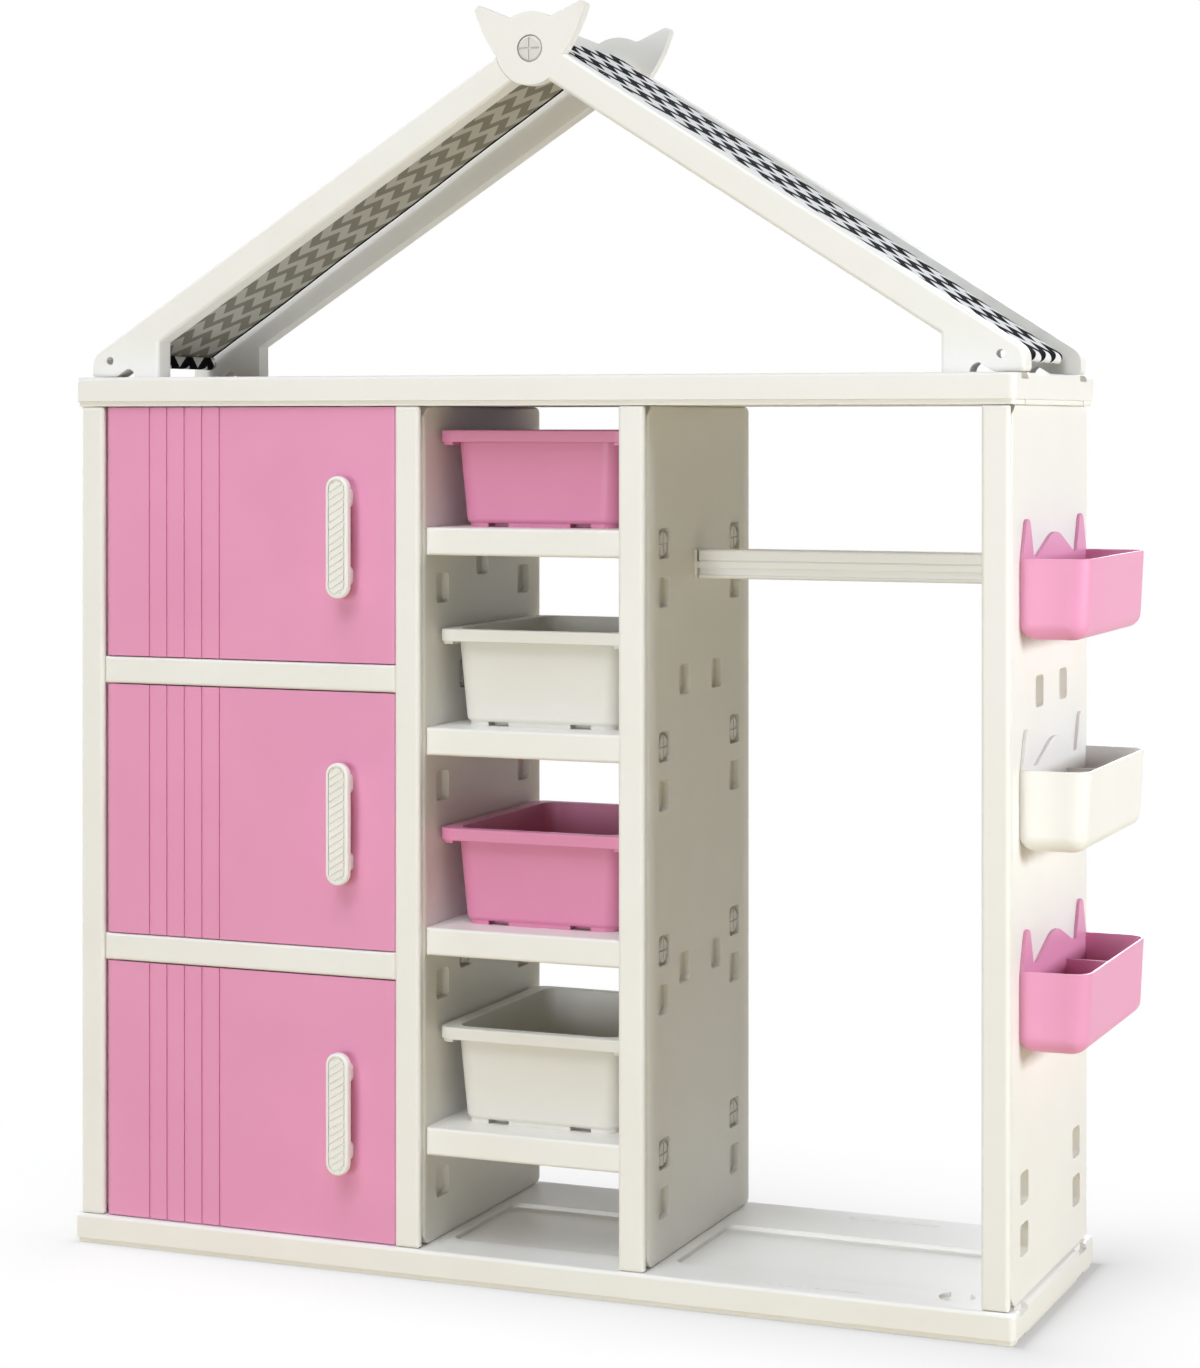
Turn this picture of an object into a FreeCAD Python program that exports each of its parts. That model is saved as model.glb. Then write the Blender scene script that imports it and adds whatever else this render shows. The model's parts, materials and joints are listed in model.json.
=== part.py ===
import FreeCAD, Part
import math
import os

V = FreeCAD.Vector

# Children's clothing rack of moulded plastic with a small house roof, in millimetres.
# +X is right seen from the front, +Y is back, +Z is up, and the origin is the centre of the underside.

# Bays and upright panels
outer_bay_width = 335.0
bin_bay_width = 213.0
panel_thickness = 27.0
panel_depth = 299.0
panel_wall = 2.2
panel_nose_depth = 9.0
panel_nose_radius = 4.0
panel_nose_end_radius = 4.0
panel_groove_width = 2.4
panel_groove_depth = 2.4
panel_plate_radius = 4.5
panel_plate_end_radius = 2.5
panel_corner_radius = 15.0

# Pockets on the panels' right faces
pocket_width = 29.0
pocket_height = 30.0
pocket_depth = 8.0
pocket_radius = 5.0
pocket_front_setback = 54.5
pocket_back_setback = 46.5
inner_pocket_front_setback = 109.5
inner_pocket_back_setback = 99.5
spare_pocket_drop = 48.0

# Base board and top board
board_side_overhang = 6.5
board_front_overhang = 2.5
board_height = 30.0
board_wall = 2.4
board_corner_radius = 7.0
board_edge_radius = 4.0
board_lip_height = 5.0
board_lip_inset = 2.5
board_rib_spacing = 76.0
board_end_notch_width = 28.0
board_end_notch_height = 6.0
board_end_notch_front_setback = 18.0
board_end_notch_back_setback = 62.0
deck_recess_depth = 4.5
deck_recess_margin = 12.0
deck_recess_front_setback = 52.0
deck_recess_back_setback = 96.0
deck_recess_radius = 12.0
deck_slot_length = 98.0
deck_slot_width = 5.0
deck_slot_front_setback = 17.0
deck_slot_back_setback = 27.0
deck_mark_depth = 1.2
deck_dimple_diameter = 34.0
deck_dimple_depth = 4.0
deck_dimple_side_setback = 33.0
deck_dimple_front_setback = 38.0

# Connectors that plug the boards into the panels
connector_height = 25.0
connector_seat = 10.0
connector_length = 70.0
connector_spacing = 150.0
connector_wall = 2.5

# Shelves
shelf_height = 27.5
shelf_wall = 2.2
shelf_edge_radius = 3.0
shelf_end_radius = 4.0
shelf_back_setback = 8.0
shelf_rib_spacing = 70.0
bin_shelf_front_setback = 17.0
bin_shelf_pitch = 199.0
bin_shelf_first_gap = 90.5
bin_top_cell_height = 121.0
bin_shelf_count = 4
cupboard_shelf_front_setback = 5.0
lower_cell_height = 264.5
middle_cell_height = 258.5
lug_end_gap = 1.0
boss_width = 15.0
boss_length = 20.0

# Round-headed screws of the shelves
shelf_screw_head_diameter = 26.0
shelf_screw_head_height = 7.0
shelf_screw_diameter = 7.0
shelf_screw_grip = 15.0
screw_slot_width = 1.8
screw_slot_depth = 1.2
screw_slot_share = 0.84
screw_tube_wall = 3.0

# Cupboard doors and their back plates
door_front_setback = 6.0
door_thickness = 14.0
door_wall = 2.6
door_gap = 0.8
door_level_gap = 1.0
door_edge_radius = 3.0
door_groove_count = 5
door_groove_width = 3.0
door_groove_depth = 1.6
door_groove_pitch = 20.5
door_first_groove = 53.0
door_rib_spacing = 82.0
hinge_pin_diameter = 6.0
hinge_pin_length = 7.0
hinge_pin_clearance = 0.05
hinge_boss_width = 14.0
door_stop_length = 30.0
door_stop_depth = 8.0
door_stop_thickness = 3.0
door_stop_side_setback = 40.0
back_plate_thickness = 2.5
back_plate_inset = 4.0
back_plate_rim = 6.0

# Door handles
handle_length = 122.0
handle_width = 25.0
handle_bar_thickness = 9.0
handle_standoff = 12.0
handle_side_setback = 55.0
handle_drop = 2.0
handle_edge_radius = 2.5
handle_face_inset = 3.5
handle_face_depth = 1.6
handle_leg_width = 17.0
handle_leg_length = 20.0
handle_leg_radius = 6.0
handle_leg_spacing = 78.0
handle_screw_diameter = 4.0
handle_screw_grip = 10.0
handle_screw_head_diameter = 8.0
handle_screw_head_height = 3.0
handle_boss_width = 13.0
handle_boss_depth = 8.0

# Bins
bin_side_gap = 2.5
bin_back_setback = 18.0
bin_height = 97.0
bin_wall = 2.2
bin_side_flange = 14.5
bin_front_flange = 9.0
bin_body_taper = 6.5
bin_corner_radius = 17.0
bin_bottom_radius = 5.0
bin_rim_radius = 15.0
bin_rim_edge_radius = 1.8
bin_band_height = 12.0
bin_runner_height = 3.0
bin_runner_inset = 2.0
bin_foot_height = 4.0
bin_foot_inset = 3.0
bin_foot_notch_width = 22.0
bin_foot_notch_depth = 14.0
bin_foot_notch_spacing = 89.0
bin_front_setback = 38.0

# Caddies hung on the right panel
caddy_reach = 65.5
caddy_height = 76.0
caddy_wall = 2.4
caddy_plate_thickness = 3.0
caddy_front_setback = 39.0
caddy_back_setback = 21.0
caddy_corner_radius = 19.0
caddy_bottom_radius = 15.0
caddy_taper = 4.0
caddy_1_drop = 143.0
caddy_2_drop = 340.0
caddy_3_drop = 527.0
caddy_divider_height = 62.0
caddy_divider_spacing = 84.0
caddy_ear_width = 40.0
caddy_ear_height = 36.0
caddy_ear_tip_radius = 9.0
caddy_hump_width = 141.0
caddy_hump_height = 21.0
caddy_hump_top_radius = 70.0
caddy_hook_width = 10.0
caddy_hook_thickness = 4.0
caddy_hook_drop = 10.0
caddy_hook_level = 20.0
caddy_lift = 12.0

# Clothes rail
rail_height = 29.5
rail_depth = 25.0
rail_radius = 3.0
rail_wall = 2.0
rail_drop = 158.0
rail_line_height = 1.0
rail_line_depth = 0.7
rail_line_rise = 3.0
rail_channel_height = 7.0
rail_channel_depth = 4.0
rail_channel_drop = 7.8
socket_plate_thickness = 2.5
socket_gap = 2.2
socket_plug_length = 14.0
socket_stud_diameter = 9.0
socket_stud_length = 8.0

# Roof
roof_pitch = 32.3
rafter_width = 28.5
rafter_belly = 2.5
rafter_edge_radius = 4.0
rafter_thickness = 24.0
rafter_front_setback = 33.0
rafter_end_height = 22.0
rafter_foot_length = 81.0
rafter_end_radius = 16.0
rafter_toe_radius = 4.0
rafter_toe_gap = 1.0
foot_notch_start = 30.0
foot_notch_length = 23.0
foot_notch_height = 9.5
foot_notch_apex_share = 0.62
head_radius = 36.5
head_ear_span = 59.5
head_ear_rise = 44.5
head_valley_span = 21.5
head_valley_rise = 30.5
head_crown_rise = 36.5
head_ear_root_rise = 7.0
head_ear_tip_radius = 5.0
ridge_rod_diameter = 28.0
ridge_screw_head_diameter = 25.6
ridge_screw_head_height = 6.0
ridge_screw_recess = 5.2
ridge_screw_recess_gap = 0.7
ridge_screw_diameter = 7.0
ridge_screw_grip = 18.0
eave_rod_diameter = 8.0
eave_rod_end_setback = 23.0
eave_rod_level = 17.5
eave_rod_recess = 10.0
foot_screw_diameter = 5.0
foot_screw_head_diameter = 11.0
foot_screw_head_height = 3.5
foot_screw_grip = 16.0
foot_screw_setback = 14.0
cloth_thickness = 1.4
cloth_edge_gap = 5.0

# Fits
fit_clearance = 0.3
screw_clearance = 0.1
lap_clearance = 0.3
cut_overrun = 1.0
edge_tolerance = 0.001
corner_limit_share = 0.49
half_share = 0.5
round_mid_share = math.sqrt(half_share)

# Places that follow from the sizes above
half_panel = panel_thickness / 2
width = 2 * outer_bay_width + bin_bay_width + 4 * panel_thickness + 2 * board_side_overhang
depth = panel_depth + 2 * board_front_overhang
front_y = -depth / 2
back_y = depth / 2
panel_front_y = -panel_depth / 2
panel_back_y = panel_depth / 2
nose_back_y = panel_front_y + panel_nose_depth
plate_front_y = nose_back_y + panel_groove_width
divider_x = bin_bay_width / 2 + half_panel
outer_x = divider_x + panel_thickness + outer_bay_width
panel_xs = (-outer_x, -divider_x, divider_x, outer_x)
base_top = board_height
bin_stack_height = (bin_shelf_count - 1) * bin_shelf_pitch + shelf_height
panel_height = bin_shelf_first_gap + bin_stack_height + bin_top_cell_height
panel_top = base_top + panel_height
roof_base = panel_top + board_height

cupboard_low_x = -outer_x + half_panel
cupboard_high_x = -divider_x - half_panel
bin_low_x = -divider_x + half_panel
bin_high_x = divider_x - half_panel
hanging_low_x = divider_x + half_panel
hanging_high_x = outer_x - half_panel
outer_face_x = outer_x + half_panel

bin_shelf_base = base_top + bin_shelf_first_gap
bin_shelf_lows = [bin_shelf_base + bin_shelf_pitch * i for i in reversed(range(bin_shelf_count))]
lower_shelf_low = base_top + lower_cell_height
upper_shelf_low = lower_shelf_low + shelf_height + middle_cell_height
cupboard_shelf_lows = (upper_shelf_low, lower_shelf_low)
shelf_back_y = panel_back_y - shelf_back_setback

column_ys = (panel_front_y + pocket_front_setback, panel_back_y - pocket_back_setback)
inner_ys = (panel_front_y + inner_pocket_front_setback, panel_back_y - inner_pocket_back_setback)
bin_shelf_middles = [low + shelf_height / 2 for low in bin_shelf_lows]
cupboard_shelf_middles = [low + shelf_height / 2 for low in cupboard_shelf_lows]
bin_screw_places = [(y, z) for z in bin_shelf_middles for y in column_ys]
spare_places = [(y, z - spare_pocket_drop) for y, z in bin_screw_places]
cupboard_screw_places = [(y, z) for z in cupboard_shelf_middles for y in inner_ys]
shelf_pocket_places = bin_screw_places + spare_places + cupboard_screw_places

door_front_y = front_y + door_front_setback
door_back_y = door_front_y + door_thickness
hinge_x = cupboard_low_x + door_gap + door_thickness / 2
hinge_y = door_front_y + door_thickness / 2
door_high_x = cupboard_high_x - door_gap
hinge_hole_radius = hinge_pin_diameter / 2 + hinge_pin_clearance
hinge_hole_depth = hinge_pin_length
handle_x = door_high_x - handle_side_setback

caddy_hook_ys = [(column + inner) / 2 for column, inner in zip(column_ys, inner_ys)]
caddy_rims = [panel_top - drop for drop in (caddy_1_drop, caddy_2_drop, caddy_3_drop)]
rail_z = panel_top - rail_drop
inner_pocket_places = shelf_pocket_places + [(0, rail_z)]
outer_pocket_places = list(shelf_pocket_places)
for rim in caddy_rims:
    covered_low = rim - caddy_height - pocket_height / 2
    covered_high = rim + caddy_ear_height + pocket_height / 2
    outer_pocket_places = [(y, z) for y, z in outer_pocket_places if not covered_low < z < covered_high]

pitch = math.radians(roof_pitch)
rafter_end_x = width / 2
foot_inner_x = rafter_end_x - rafter_foot_length
rafter_rise = rafter_end_x * math.tan(pitch) - rafter_width / 2 / math.cos(pitch)
ridge_z = roof_base + rafter_end_height + rafter_rise
rafter_outer_y = depth / 2 - rafter_front_setback
rafter_inner_y = rafter_outer_y - rafter_thickness
rafter_lap_y = rafter_outer_y - rafter_thickness / 2
eave_rod_x = rafter_end_x - eave_rod_end_setback
eave_rod_z = roof_base + eave_rod_level
foot_screw_x = foot_inner_x + foot_screw_setback


def flat(z):
    """Puts an outline's two coordinates on a level plane."""
    return lambda a, b: V(a, b, z)


def side(x):
    """Puts an outline's two coordinates on a plane seen from the side."""
    return lambda a, b: V(x, a, b)


def facing(y):
    """Puts an outline's two coordinates on a plane seen from the front."""
    return lambda a, b: V(a, y, b)


def block(low, high):
    """Box between two opposite corners."""
    size = V(*high).sub(V(*low))
    return Part.makeBox(size.x, size.y, size.z, V(*low))


def rod(start, end, radius):
    """Round bar from one point to another."""
    axis = V(*end).sub(V(*start))
    return Part.makeCylinder(radius, axis.Length, V(*start), axis)


def outline_face(pieces):
    """Face bounded by pieces of two points, which are straight, or three, which are arcs."""
    edges = []
    for points in pieces:
        if len(points) == 3:
            edges.append(Part.Arc(*points).toShape())
        elif points[0].distanceToPoint(points[1]) > edge_tolerance:
            edges.append(Part.makeLine(*points))
    return Part.Face(Part.Wire(edges))


def polygon_face(points):
    """Face with straight sides."""
    return Part.Face(Part.makePolygon(points + points[:1]))


def rounded_face(low, high, radii, place):
    """Rectangle with a radius at each corner, counter-clockwise from the low corner."""
    (a0, b0), (a1, b1) = low, high
    limit = min(a1 - a0, b1 - b0) * corner_limit_share
    corners = ((a0, b0, 1, 1), (a1, b0, -1, 1), (a1, b1, -1, -1), (a0, b1, 1, -1))
    turns = []
    for index, ((a, b, sa, sb), radius) in enumerate(zip(corners, radii)):
        r = min(radius, limit)
        along_a = (a + sa * r, b)
        along_b = (a, b + sb * r)
        middle = (a + sa * r * (1 - round_mid_share), b + sb * r * (1 - round_mid_share))
        turn = (along_b, middle, along_a) if index % 2 == 0 else (along_a, middle, along_b)
        turns.append((r, [place(*point) for point in turn]))
    pieces = []
    for index, (r, turn) in enumerate(turns):
        if r > 0:
            pieces.append(turn)
        pieces.append((turn[2], turns[(index + 1) % len(turns)][1][0]))
    return outline_face(pieces)


def even_face(low, high, radius, place):
    """Rectangle with the same radius at every corner."""
    return rounded_face(low, high, (radius,) * 4, place)


def rounded_block(low, high, radius):
    """Box with rounded upright edges."""
    face = even_face(low[:2], high[:2], radius, flat(low[2]))
    return face.extrude(V(0, 0, high[2] - low[2]))


def level_edges(shape, z):
    """Edges that lie on one level."""
    return [e for e in shape.Edges if abs(e.BoundBox.ZMin - z) + abs(e.BoundBox.ZMax - z) < edge_tolerance]


def screw(seat, direction, head_diameter, head_height, shank_diameter, shank_length):
    """Round-headed screw with a cross slot, driven in one direction from its seat."""
    head_radius = head_diameter / 2
    crown = min(head_height, head_radius) * corner_limit_share
    head = Part.makeCylinder(head_radius, head_height, V(0, 0, -head_height))
    head = head.makeFillet(crown, level_edges(head, -head_height))
    body = head.fuse(Part.makeCylinder(shank_diameter / 2, shank_length))
    reach = head_radius * screw_slot_share
    half_slot = screw_slot_width * head_radius / shelf_screw_head_diameter
    low = -head_height - cut_overrun
    high = -head_height + min(screw_slot_depth, head_height * half_share)
    cross = [block((-reach, -half_slot, low), (reach, half_slot, high))]
    cross.append(block((-half_slot, -reach, low), (half_slot, reach, high)))
    body = body.cut(cross)
    body.Placement = FreeCAD.Placement(V(*seat), FreeCAD.Rotation(V(0, 0, 1), V(*direction)))
    return body


def spread(low, high, spacing):
    """Even places between two walls, about one spacing apart."""
    count = max(1, round((high - low) / spacing))
    return [low + (high - low) * i / count for i in range(1, count)]


def board_outline(inset, z):
    """Plan of a board, drawn in by an inset."""
    low = (-width / 2 + inset, front_y + inset)
    high = (width / 2 - inset, back_y - inset)
    return even_face(low, high, board_corner_radius - inset, flat(z))


def end_notches(low, high, reach, margin):
    """Blocks at a board's two ends, front and back, that reach inwards and have a margin all round."""
    blocks = []
    for end_x in (-width / 2, width / 2):
        for y in (front_y + board_end_notch_front_setback, back_y - board_end_notch_back_setback):
            start = (end_x - reach - margin, y - margin, low - margin)
            end_y = y + board_end_notch_width + margin
            blocks.append(block(start, (end_x + reach + margin, end_y, high)))
    return blocks


def board_body(low):
    """Outside of a board: a rounded slab on a lip that is drawn in."""
    slab_low = low + board_lip_height
    slab = board_outline(0, slab_low).extrude(V(0, 0, board_height - board_lip_height))
    slab = slab.makeFillet(board_edge_radius, level_edges(slab, low + board_height))
    lip = board_outline(board_lip_inset, low).extrude(V(0, 0, board_lip_height))
    return slab.fuse(lip.cut(end_notches(low, slab_low, board_lip_inset + board_wall / 2, 0)))


def board_ribs(low, high):
    """Ribs under a board's deck: lengthwise, across over every panel, and across each bay's middle."""
    ribs = []
    for y in (-board_rib_spacing, 0, board_rib_spacing):
        ribs.append(block((-width / 2, y - board_wall / 2, low), (width / 2, y + board_wall / 2, high)))
    across = [0, -(divider_x + outer_x) / 2, (divider_x + outer_x) / 2]
    for x in panel_xs:
        across += [x - panel_thickness / 4, x + panel_thickness / 4]
    for x in across:
        ribs.append(block((x - board_wall / 2, front_y, low), (x + board_wall / 2, back_y, high)))
    return ribs


def board(low, kept, opened):
    """Moulded board open below: kept solids stand in its hollow, opened solids are cut away."""
    deck_low = low + board_height - board_wall
    slab_low = low + board_lip_height
    lip_hollow = board_outline(board_lip_inset + board_wall, low).extrude(V(0, 0, deck_low - low))
    slab_floor = slab_low + board_wall
    slab_hollow = board_outline(board_wall, slab_floor).extrude(V(0, 0, deck_low - slab_floor))
    notch_low = low + board_height - board_end_notch_height
    notch_walls = end_notches(notch_low, deck_low, board_side_overhang, board_wall)
    notches = end_notches(notch_low, low + board_height + cut_overrun, board_side_overhang, 0)
    hollow = lip_hollow.fuse(slab_hollow).cut(board_ribs(low, deck_low) + notch_walls + kept)
    return board_body(low).cut([hollow] + notches + opened)


def connector_boxes(face_z, toward_panel, inset, seat):
    """Boxes round the connectors, from their seat in a board's face at face_z into the panels."""
    half_x = half_panel - panel_wall - fit_clearance - inset
    half_y = connector_length / 2 - inset
    far = face_z + toward_panel * connector_height
    near = face_z - toward_panel * seat
    boxes = []
    for x in panel_xs:
        for y in (-connector_spacing / 2, connector_spacing / 2):
            low = (x - half_x, y - half_y, min(far, near))
            boxes.append(block(low, (x + half_x, y + half_y, max(far, near))))
    return boxes


def make_connectors(face_z, toward_panel):
    """Plugs between one board and the four panels, hollow and open on the panel's side."""
    outsides = connector_boxes(face_z, toward_panel, 0, connector_seat)
    hollows = connector_boxes(face_z, toward_panel, connector_wall, connector_seat - connector_wall)
    return Part.makeCompound([outside.cut(hollow) for outside, hollow in zip(outsides, hollows)])


def hinge_boss(low, high):
    """Block round the doors' hinge axis."""
    half = hinge_boss_width / 2
    start = (cupboard_low_x, hinge_y - half, low)
    return block(start, (hinge_x + half, hinge_y + half, high))


def hinge_hole(face_z, direction):
    """Hole for a hinge pin, into a face in one direction along Z."""
    end = (hinge_x, hinge_y, face_z + direction * hinge_hole_depth)
    return rod((hinge_x, hinge_y, face_z), end, hinge_hole_radius)


def door_stop(low, high):
    """Upright block behind a closed door's free edge."""
    x = cupboard_high_x - door_stop_side_setback
    y = door_back_y + fit_clearance
    return block((x - door_stop_length, y, low), (x, y + door_stop_thickness, high))


def deck_recesses():
    """Shallow sunken field of each bay's floor, as (low, high) corners in plan."""
    fields = []
    bays = ((cupboard_low_x, cupboard_high_x), (bin_low_x, bin_high_x), (hanging_low_x, hanging_high_x))
    for low_x, high_x in bays:
        low = (low_x + deck_recess_margin, front_y + deck_recess_front_setback)
        high = (high_x - deck_recess_margin, back_y - deck_recess_back_setback)
        fields.append((low, high))
    return fields


def deck_dimple(radius, depth, high):
    """Round dimple in the right bay's deck."""
    place = (hanging_high_x - deck_dimple_side_setback, front_y + deck_dimple_front_setback)
    return rod((*place, base_top - depth), (*place, high), radius)


def deck_marks():
    """Long slots in the deck of the outer bays."""
    low_z = base_top - deck_mark_depth
    marks = []
    for middle in (-(divider_x + outer_x) / 2, (divider_x + outer_x) / 2):
        for y in (front_y + deck_slot_front_setback, back_y - deck_slot_back_setback):
            low = (middle - deck_slot_length / 2, y - deck_slot_width / 2, low_z)
            high = (middle + deck_slot_length / 2, y + deck_slot_width / 2, base_top + cut_overrun)
            marks.append(rounded_block(low, high, deck_slot_width / 2))
    return marks


def make_base_board():
    """Base with sunken floors, seats for the connectors and the lowest door's hinge hole."""
    dimple_radius = deck_dimple_diameter / 2
    dimple_cup = deck_dimple(dimple_radius + board_wall, deck_dimple_depth + board_wall, base_top)
    kept = [hinge_boss(0, base_top), dimple_cup]
    opened = deck_marks() + [hinge_hole(base_top, -1)]
    opened.append(deck_dimple(dimple_radius, deck_dimple_depth, base_top + cut_overrun))
    for low, high in deck_recesses():
        floor = base_top - deck_recess_depth
        outer_low = (low[0] - board_wall, low[1] - board_wall, floor - board_wall)
        outer_high = (high[0] + board_wall, high[1] + board_wall, base_top)
        kept.append(rounded_block(outer_low, outer_high, deck_recess_radius + board_wall))
        opened.append(rounded_block((*low, floor), (*high, base_top + cut_overrun), deck_recess_radius))
    kept += connector_boxes(base_top, 1, -board_wall, connector_seat + board_wall)
    opened += connector_boxes(base_top, 1, -fit_clearance, connector_seat)
    return board(0, kept, opened).removeSplitter()


def make_top_board():
    """Top with seats for the panels and connectors, screw holes for the roof and the upper hinge hole."""
    low = panel_top
    deck_low = roof_base - board_wall
    kept = [hinge_boss(low, deck_low), door_stop(low, deck_low)]
    for x in panel_xs:
        start = (x - half_panel, panel_front_y, low)
        kept.append(block(start, (x + half_panel, panel_back_y, low + board_wall)))
    kept += connector_boxes(low, -1, -board_wall, connector_seat + board_wall)
    opened = [hinge_hole(low, 1)] + connector_boxes(low, -1, -fit_clearance, connector_seat)
    for x in (-foot_screw_x, foot_screw_x):
        for y in (-rafter_lap_y, rafter_lap_y):
            radius = foot_screw_diameter / 2 + fit_clearance
            opened.append(rod((x, y, deck_low - cut_overrun), (x, y, roof_base + cut_overrun), radius))
    return board(low, kept, opened).removeSplitter()


def panel_bar(x, start_y, end_y, edge_radius, corner_radius, end_radius):
    """Upright bar of a panel, rounded in plan, in the view from the side and in the view from the front."""
    low_x = x - half_panel
    high_x = x + half_panel
    plan = even_face((low_x, start_y), (high_x, end_y), edge_radius, flat(base_top))
    profile = even_face((start_y, base_top), (end_y, panel_top), corner_radius, side(low_x))
    front = even_face((low_x, base_top), (high_x, panel_top), end_radius, facing(start_y))
    bar = plan.extrude(V(0, 0, panel_height)).common(profile.extrude(V(panel_thickness, 0, 0)))
    return bar.common(front.extrude(V(0, end_y - start_y, 0)))


def panel_body(x):
    """Outside of a panel: a full-height nose and a plate behind it, joined by a sunken neck."""
    nose_radii = (panel_nose_radius, panel_nose_end_radius, panel_nose_end_radius)
    nose = panel_bar(x, panel_front_y, nose_back_y, *nose_radii)
    plate_radii = (panel_plate_radius, panel_corner_radius, panel_plate_end_radius)
    plate = panel_bar(x, plate_front_y, panel_back_y, *plate_radii)
    half_neck = half_panel - panel_groove_depth
    neck_low = (x - half_neck, nose_back_y - panel_wall, base_top + panel_corner_radius)
    neck_high = (x + half_neck, plate_front_y + panel_wall, panel_top - panel_corner_radius)
    return nose.fuse([plate, block(neck_low, neck_high)])


def panel_hollow(x):
    """Spaces inside a panel's nose and plate, open at the ends between the rounded corners."""
    low_x = x - half_panel + panel_wall
    high_x = x + half_panel - panel_wall
    nose_low = (low_x, panel_front_y + panel_wall, base_top)
    nose = block(nose_low, (high_x, nose_back_y - panel_wall, panel_top))
    inner = panel_corner_radius - panel_wall
    low = (plate_front_y + panel_wall, base_top + panel_wall)
    high = (panel_back_y - panel_wall, panel_top - panel_wall)
    plate = even_face(low, high, inner, side(low_x)).extrude(V(high_x - low_x, 0, 0))
    through_low = (low_x, plate_front_y + panel_corner_radius, base_top)
    through = block(through_low, (high_x, panel_back_y - panel_corner_radius, panel_top))
    return nose.fuse([plate, through])


def pocket_cups(x, places):
    """Walls of the pockets inside a panel."""
    face_x = x + half_panel
    half_y = pocket_width / 2 + panel_wall
    half_z = pocket_height / 2 + panel_wall
    back_x = face_x - pocket_depth - panel_wall
    cups = []
    for y, z in places:
        cups.append(block((back_x, y - half_y, z - half_z), (face_x, y + half_y, z + half_z)))
    return cups


def pockets(x, places):
    """Pockets cut into a panel's right face."""
    floor_x = x + half_panel - pocket_depth
    cuts = []
    for y, z in places:
        low = (y - pocket_width / 2, z - pocket_height / 2)
        high = (y + pocket_width / 2, z + pocket_height / 2)
        face = even_face(low, high, pocket_radius, side(floor_x))
        cuts.append(face.extrude(V(pocket_depth + cut_overrun, 0, 0)))
    return cuts


def screw_tubes(x, places, radius):
    """Tubes or bores from the pockets' floors to a panel's left face."""
    start = x - half_panel
    end = x + half_panel - pocket_depth
    return [rod((start, y, z), (end, y, z), radius) for y, z in places]


def rail_stud_hole(face_x):
    """Hole for the stud of a rail socket, through one wall of a panel."""
    radius = socket_stud_diameter / 2 + fit_clearance
    reach = panel_wall + cut_overrun
    return rod((face_x - reach, 0, rail_z), (face_x + reach, 0, rail_z), radius)


def caddy_slots():
    """Slots in the right panel's outer wall for the caddies' hooks."""
    half = caddy_hook_width / 2 + fit_clearance
    cuts = []
    for rim in caddy_rims:
        low_z = rim - caddy_hook_level
        high_z = low_z + caddy_hook_thickness + caddy_lift + fit_clearance
        for y in caddy_hook_ys:
            start = (outer_face_x - panel_wall - cut_overrun, y - half, low_z)
            cuts.append(block(start, (outer_face_x + cut_overrun, y + half, high_z)))
    return cuts


def make_panel(x, places, screw_places, openings):
    """Hollow panel with pockets, bored for the screws of the shelves on its left."""
    screw_radius = shelf_screw_diameter / 2 + fit_clearance
    tubes = screw_tubes(x, screw_places, screw_radius + screw_tube_wall)
    bores = screw_tubes(x, screw_places, screw_radius)
    hollow = panel_hollow(x).cut(pocket_cups(x, places) + tubes)
    return panel_body(x).cut([hollow] + pockets(x, places) + bores + openings).removeSplitter()


def make_shelf(low_x, high_x, shelf_front_y, low, joint_ys, kept, opened):
    """Shelf open below, with lugs at its left end and screw bosses at its right end."""
    high = low + shelf_height
    radii = (shelf_edge_radius, 0, 0, shelf_edge_radius)
    profile = rounded_face((shelf_front_y, low), (shelf_back_y, high), radii, side(low_x))
    ends = (shelf_end_radius, shelf_end_radius, 0, 0)
    plan = rounded_face((low_x, shelf_front_y), (high_x, shelf_back_y), ends, flat(low))
    body = profile.extrude(V(high_x - low_x, 0, 0)).common(plan.extrude(V(0, 0, shelf_height)))
    inner_low = (low_x + shelf_wall, shelf_front_y + shelf_wall, low)
    inner_high = (high_x - shelf_wall, shelf_back_y - shelf_wall, high - shelf_wall)
    ribs = list(kept)
    for x in spread(low_x, high_x, shelf_rib_spacing):
        rib_low = (x - shelf_wall / 2, shelf_front_y, low)
        ribs.append(block(rib_low, (x + shelf_wall / 2, shelf_back_y, high)))
    middle = low + shelf_height / 2
    lugs = []
    bores = list(opened)
    for y in joint_ys:
        boss_start = (high_x - boss_length, y - boss_width / 2, low)
        ribs.append(block(boss_start, (high_x, y + boss_width / 2, high)))
        end = high_x - shelf_screw_grip - screw_clearance
        bores.append(rod((high_x, y, middle), (end, y, middle), shelf_screw_diameter / 2 + screw_clearance))
        half_y = pocket_width / 2 - fit_clearance
        half_z = pocket_height / 2 - fit_clearance
        lug_depth = pocket_depth - lug_end_gap
        at = side(low_x - lug_depth)
        lug = even_face((y - half_y, middle - half_z), (y + half_y, middle + half_z), pocket_radius, at)
        lugs.append(lug.extrude(V(lug_depth, 0, 0)))
    hollow = block(inner_low, inner_high).cut(ribs)
    return body.fuse(lugs).cut([hollow] + bores).removeSplitter()


def make_bin_shelf(low):
    """Shelf of the middle bay."""
    return make_shelf(bin_low_x, bin_high_x, front_y + bin_shelf_front_setback, low, column_ys, [], [])


def make_cupboard_shelf(low):
    """Shelf that parts two cupboard doors, bored for their pins."""
    high = low + shelf_height
    shelf_front_y = front_y + cupboard_shelf_front_setback
    kept = [hinge_boss(low, high), door_stop(low, high)]
    opened = [hinge_hole(high, -1), hinge_hole(low, 1)]
    return make_shelf(cupboard_low_x, cupboard_high_x, shelf_front_y, low, inner_ys, kept, opened)


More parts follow.
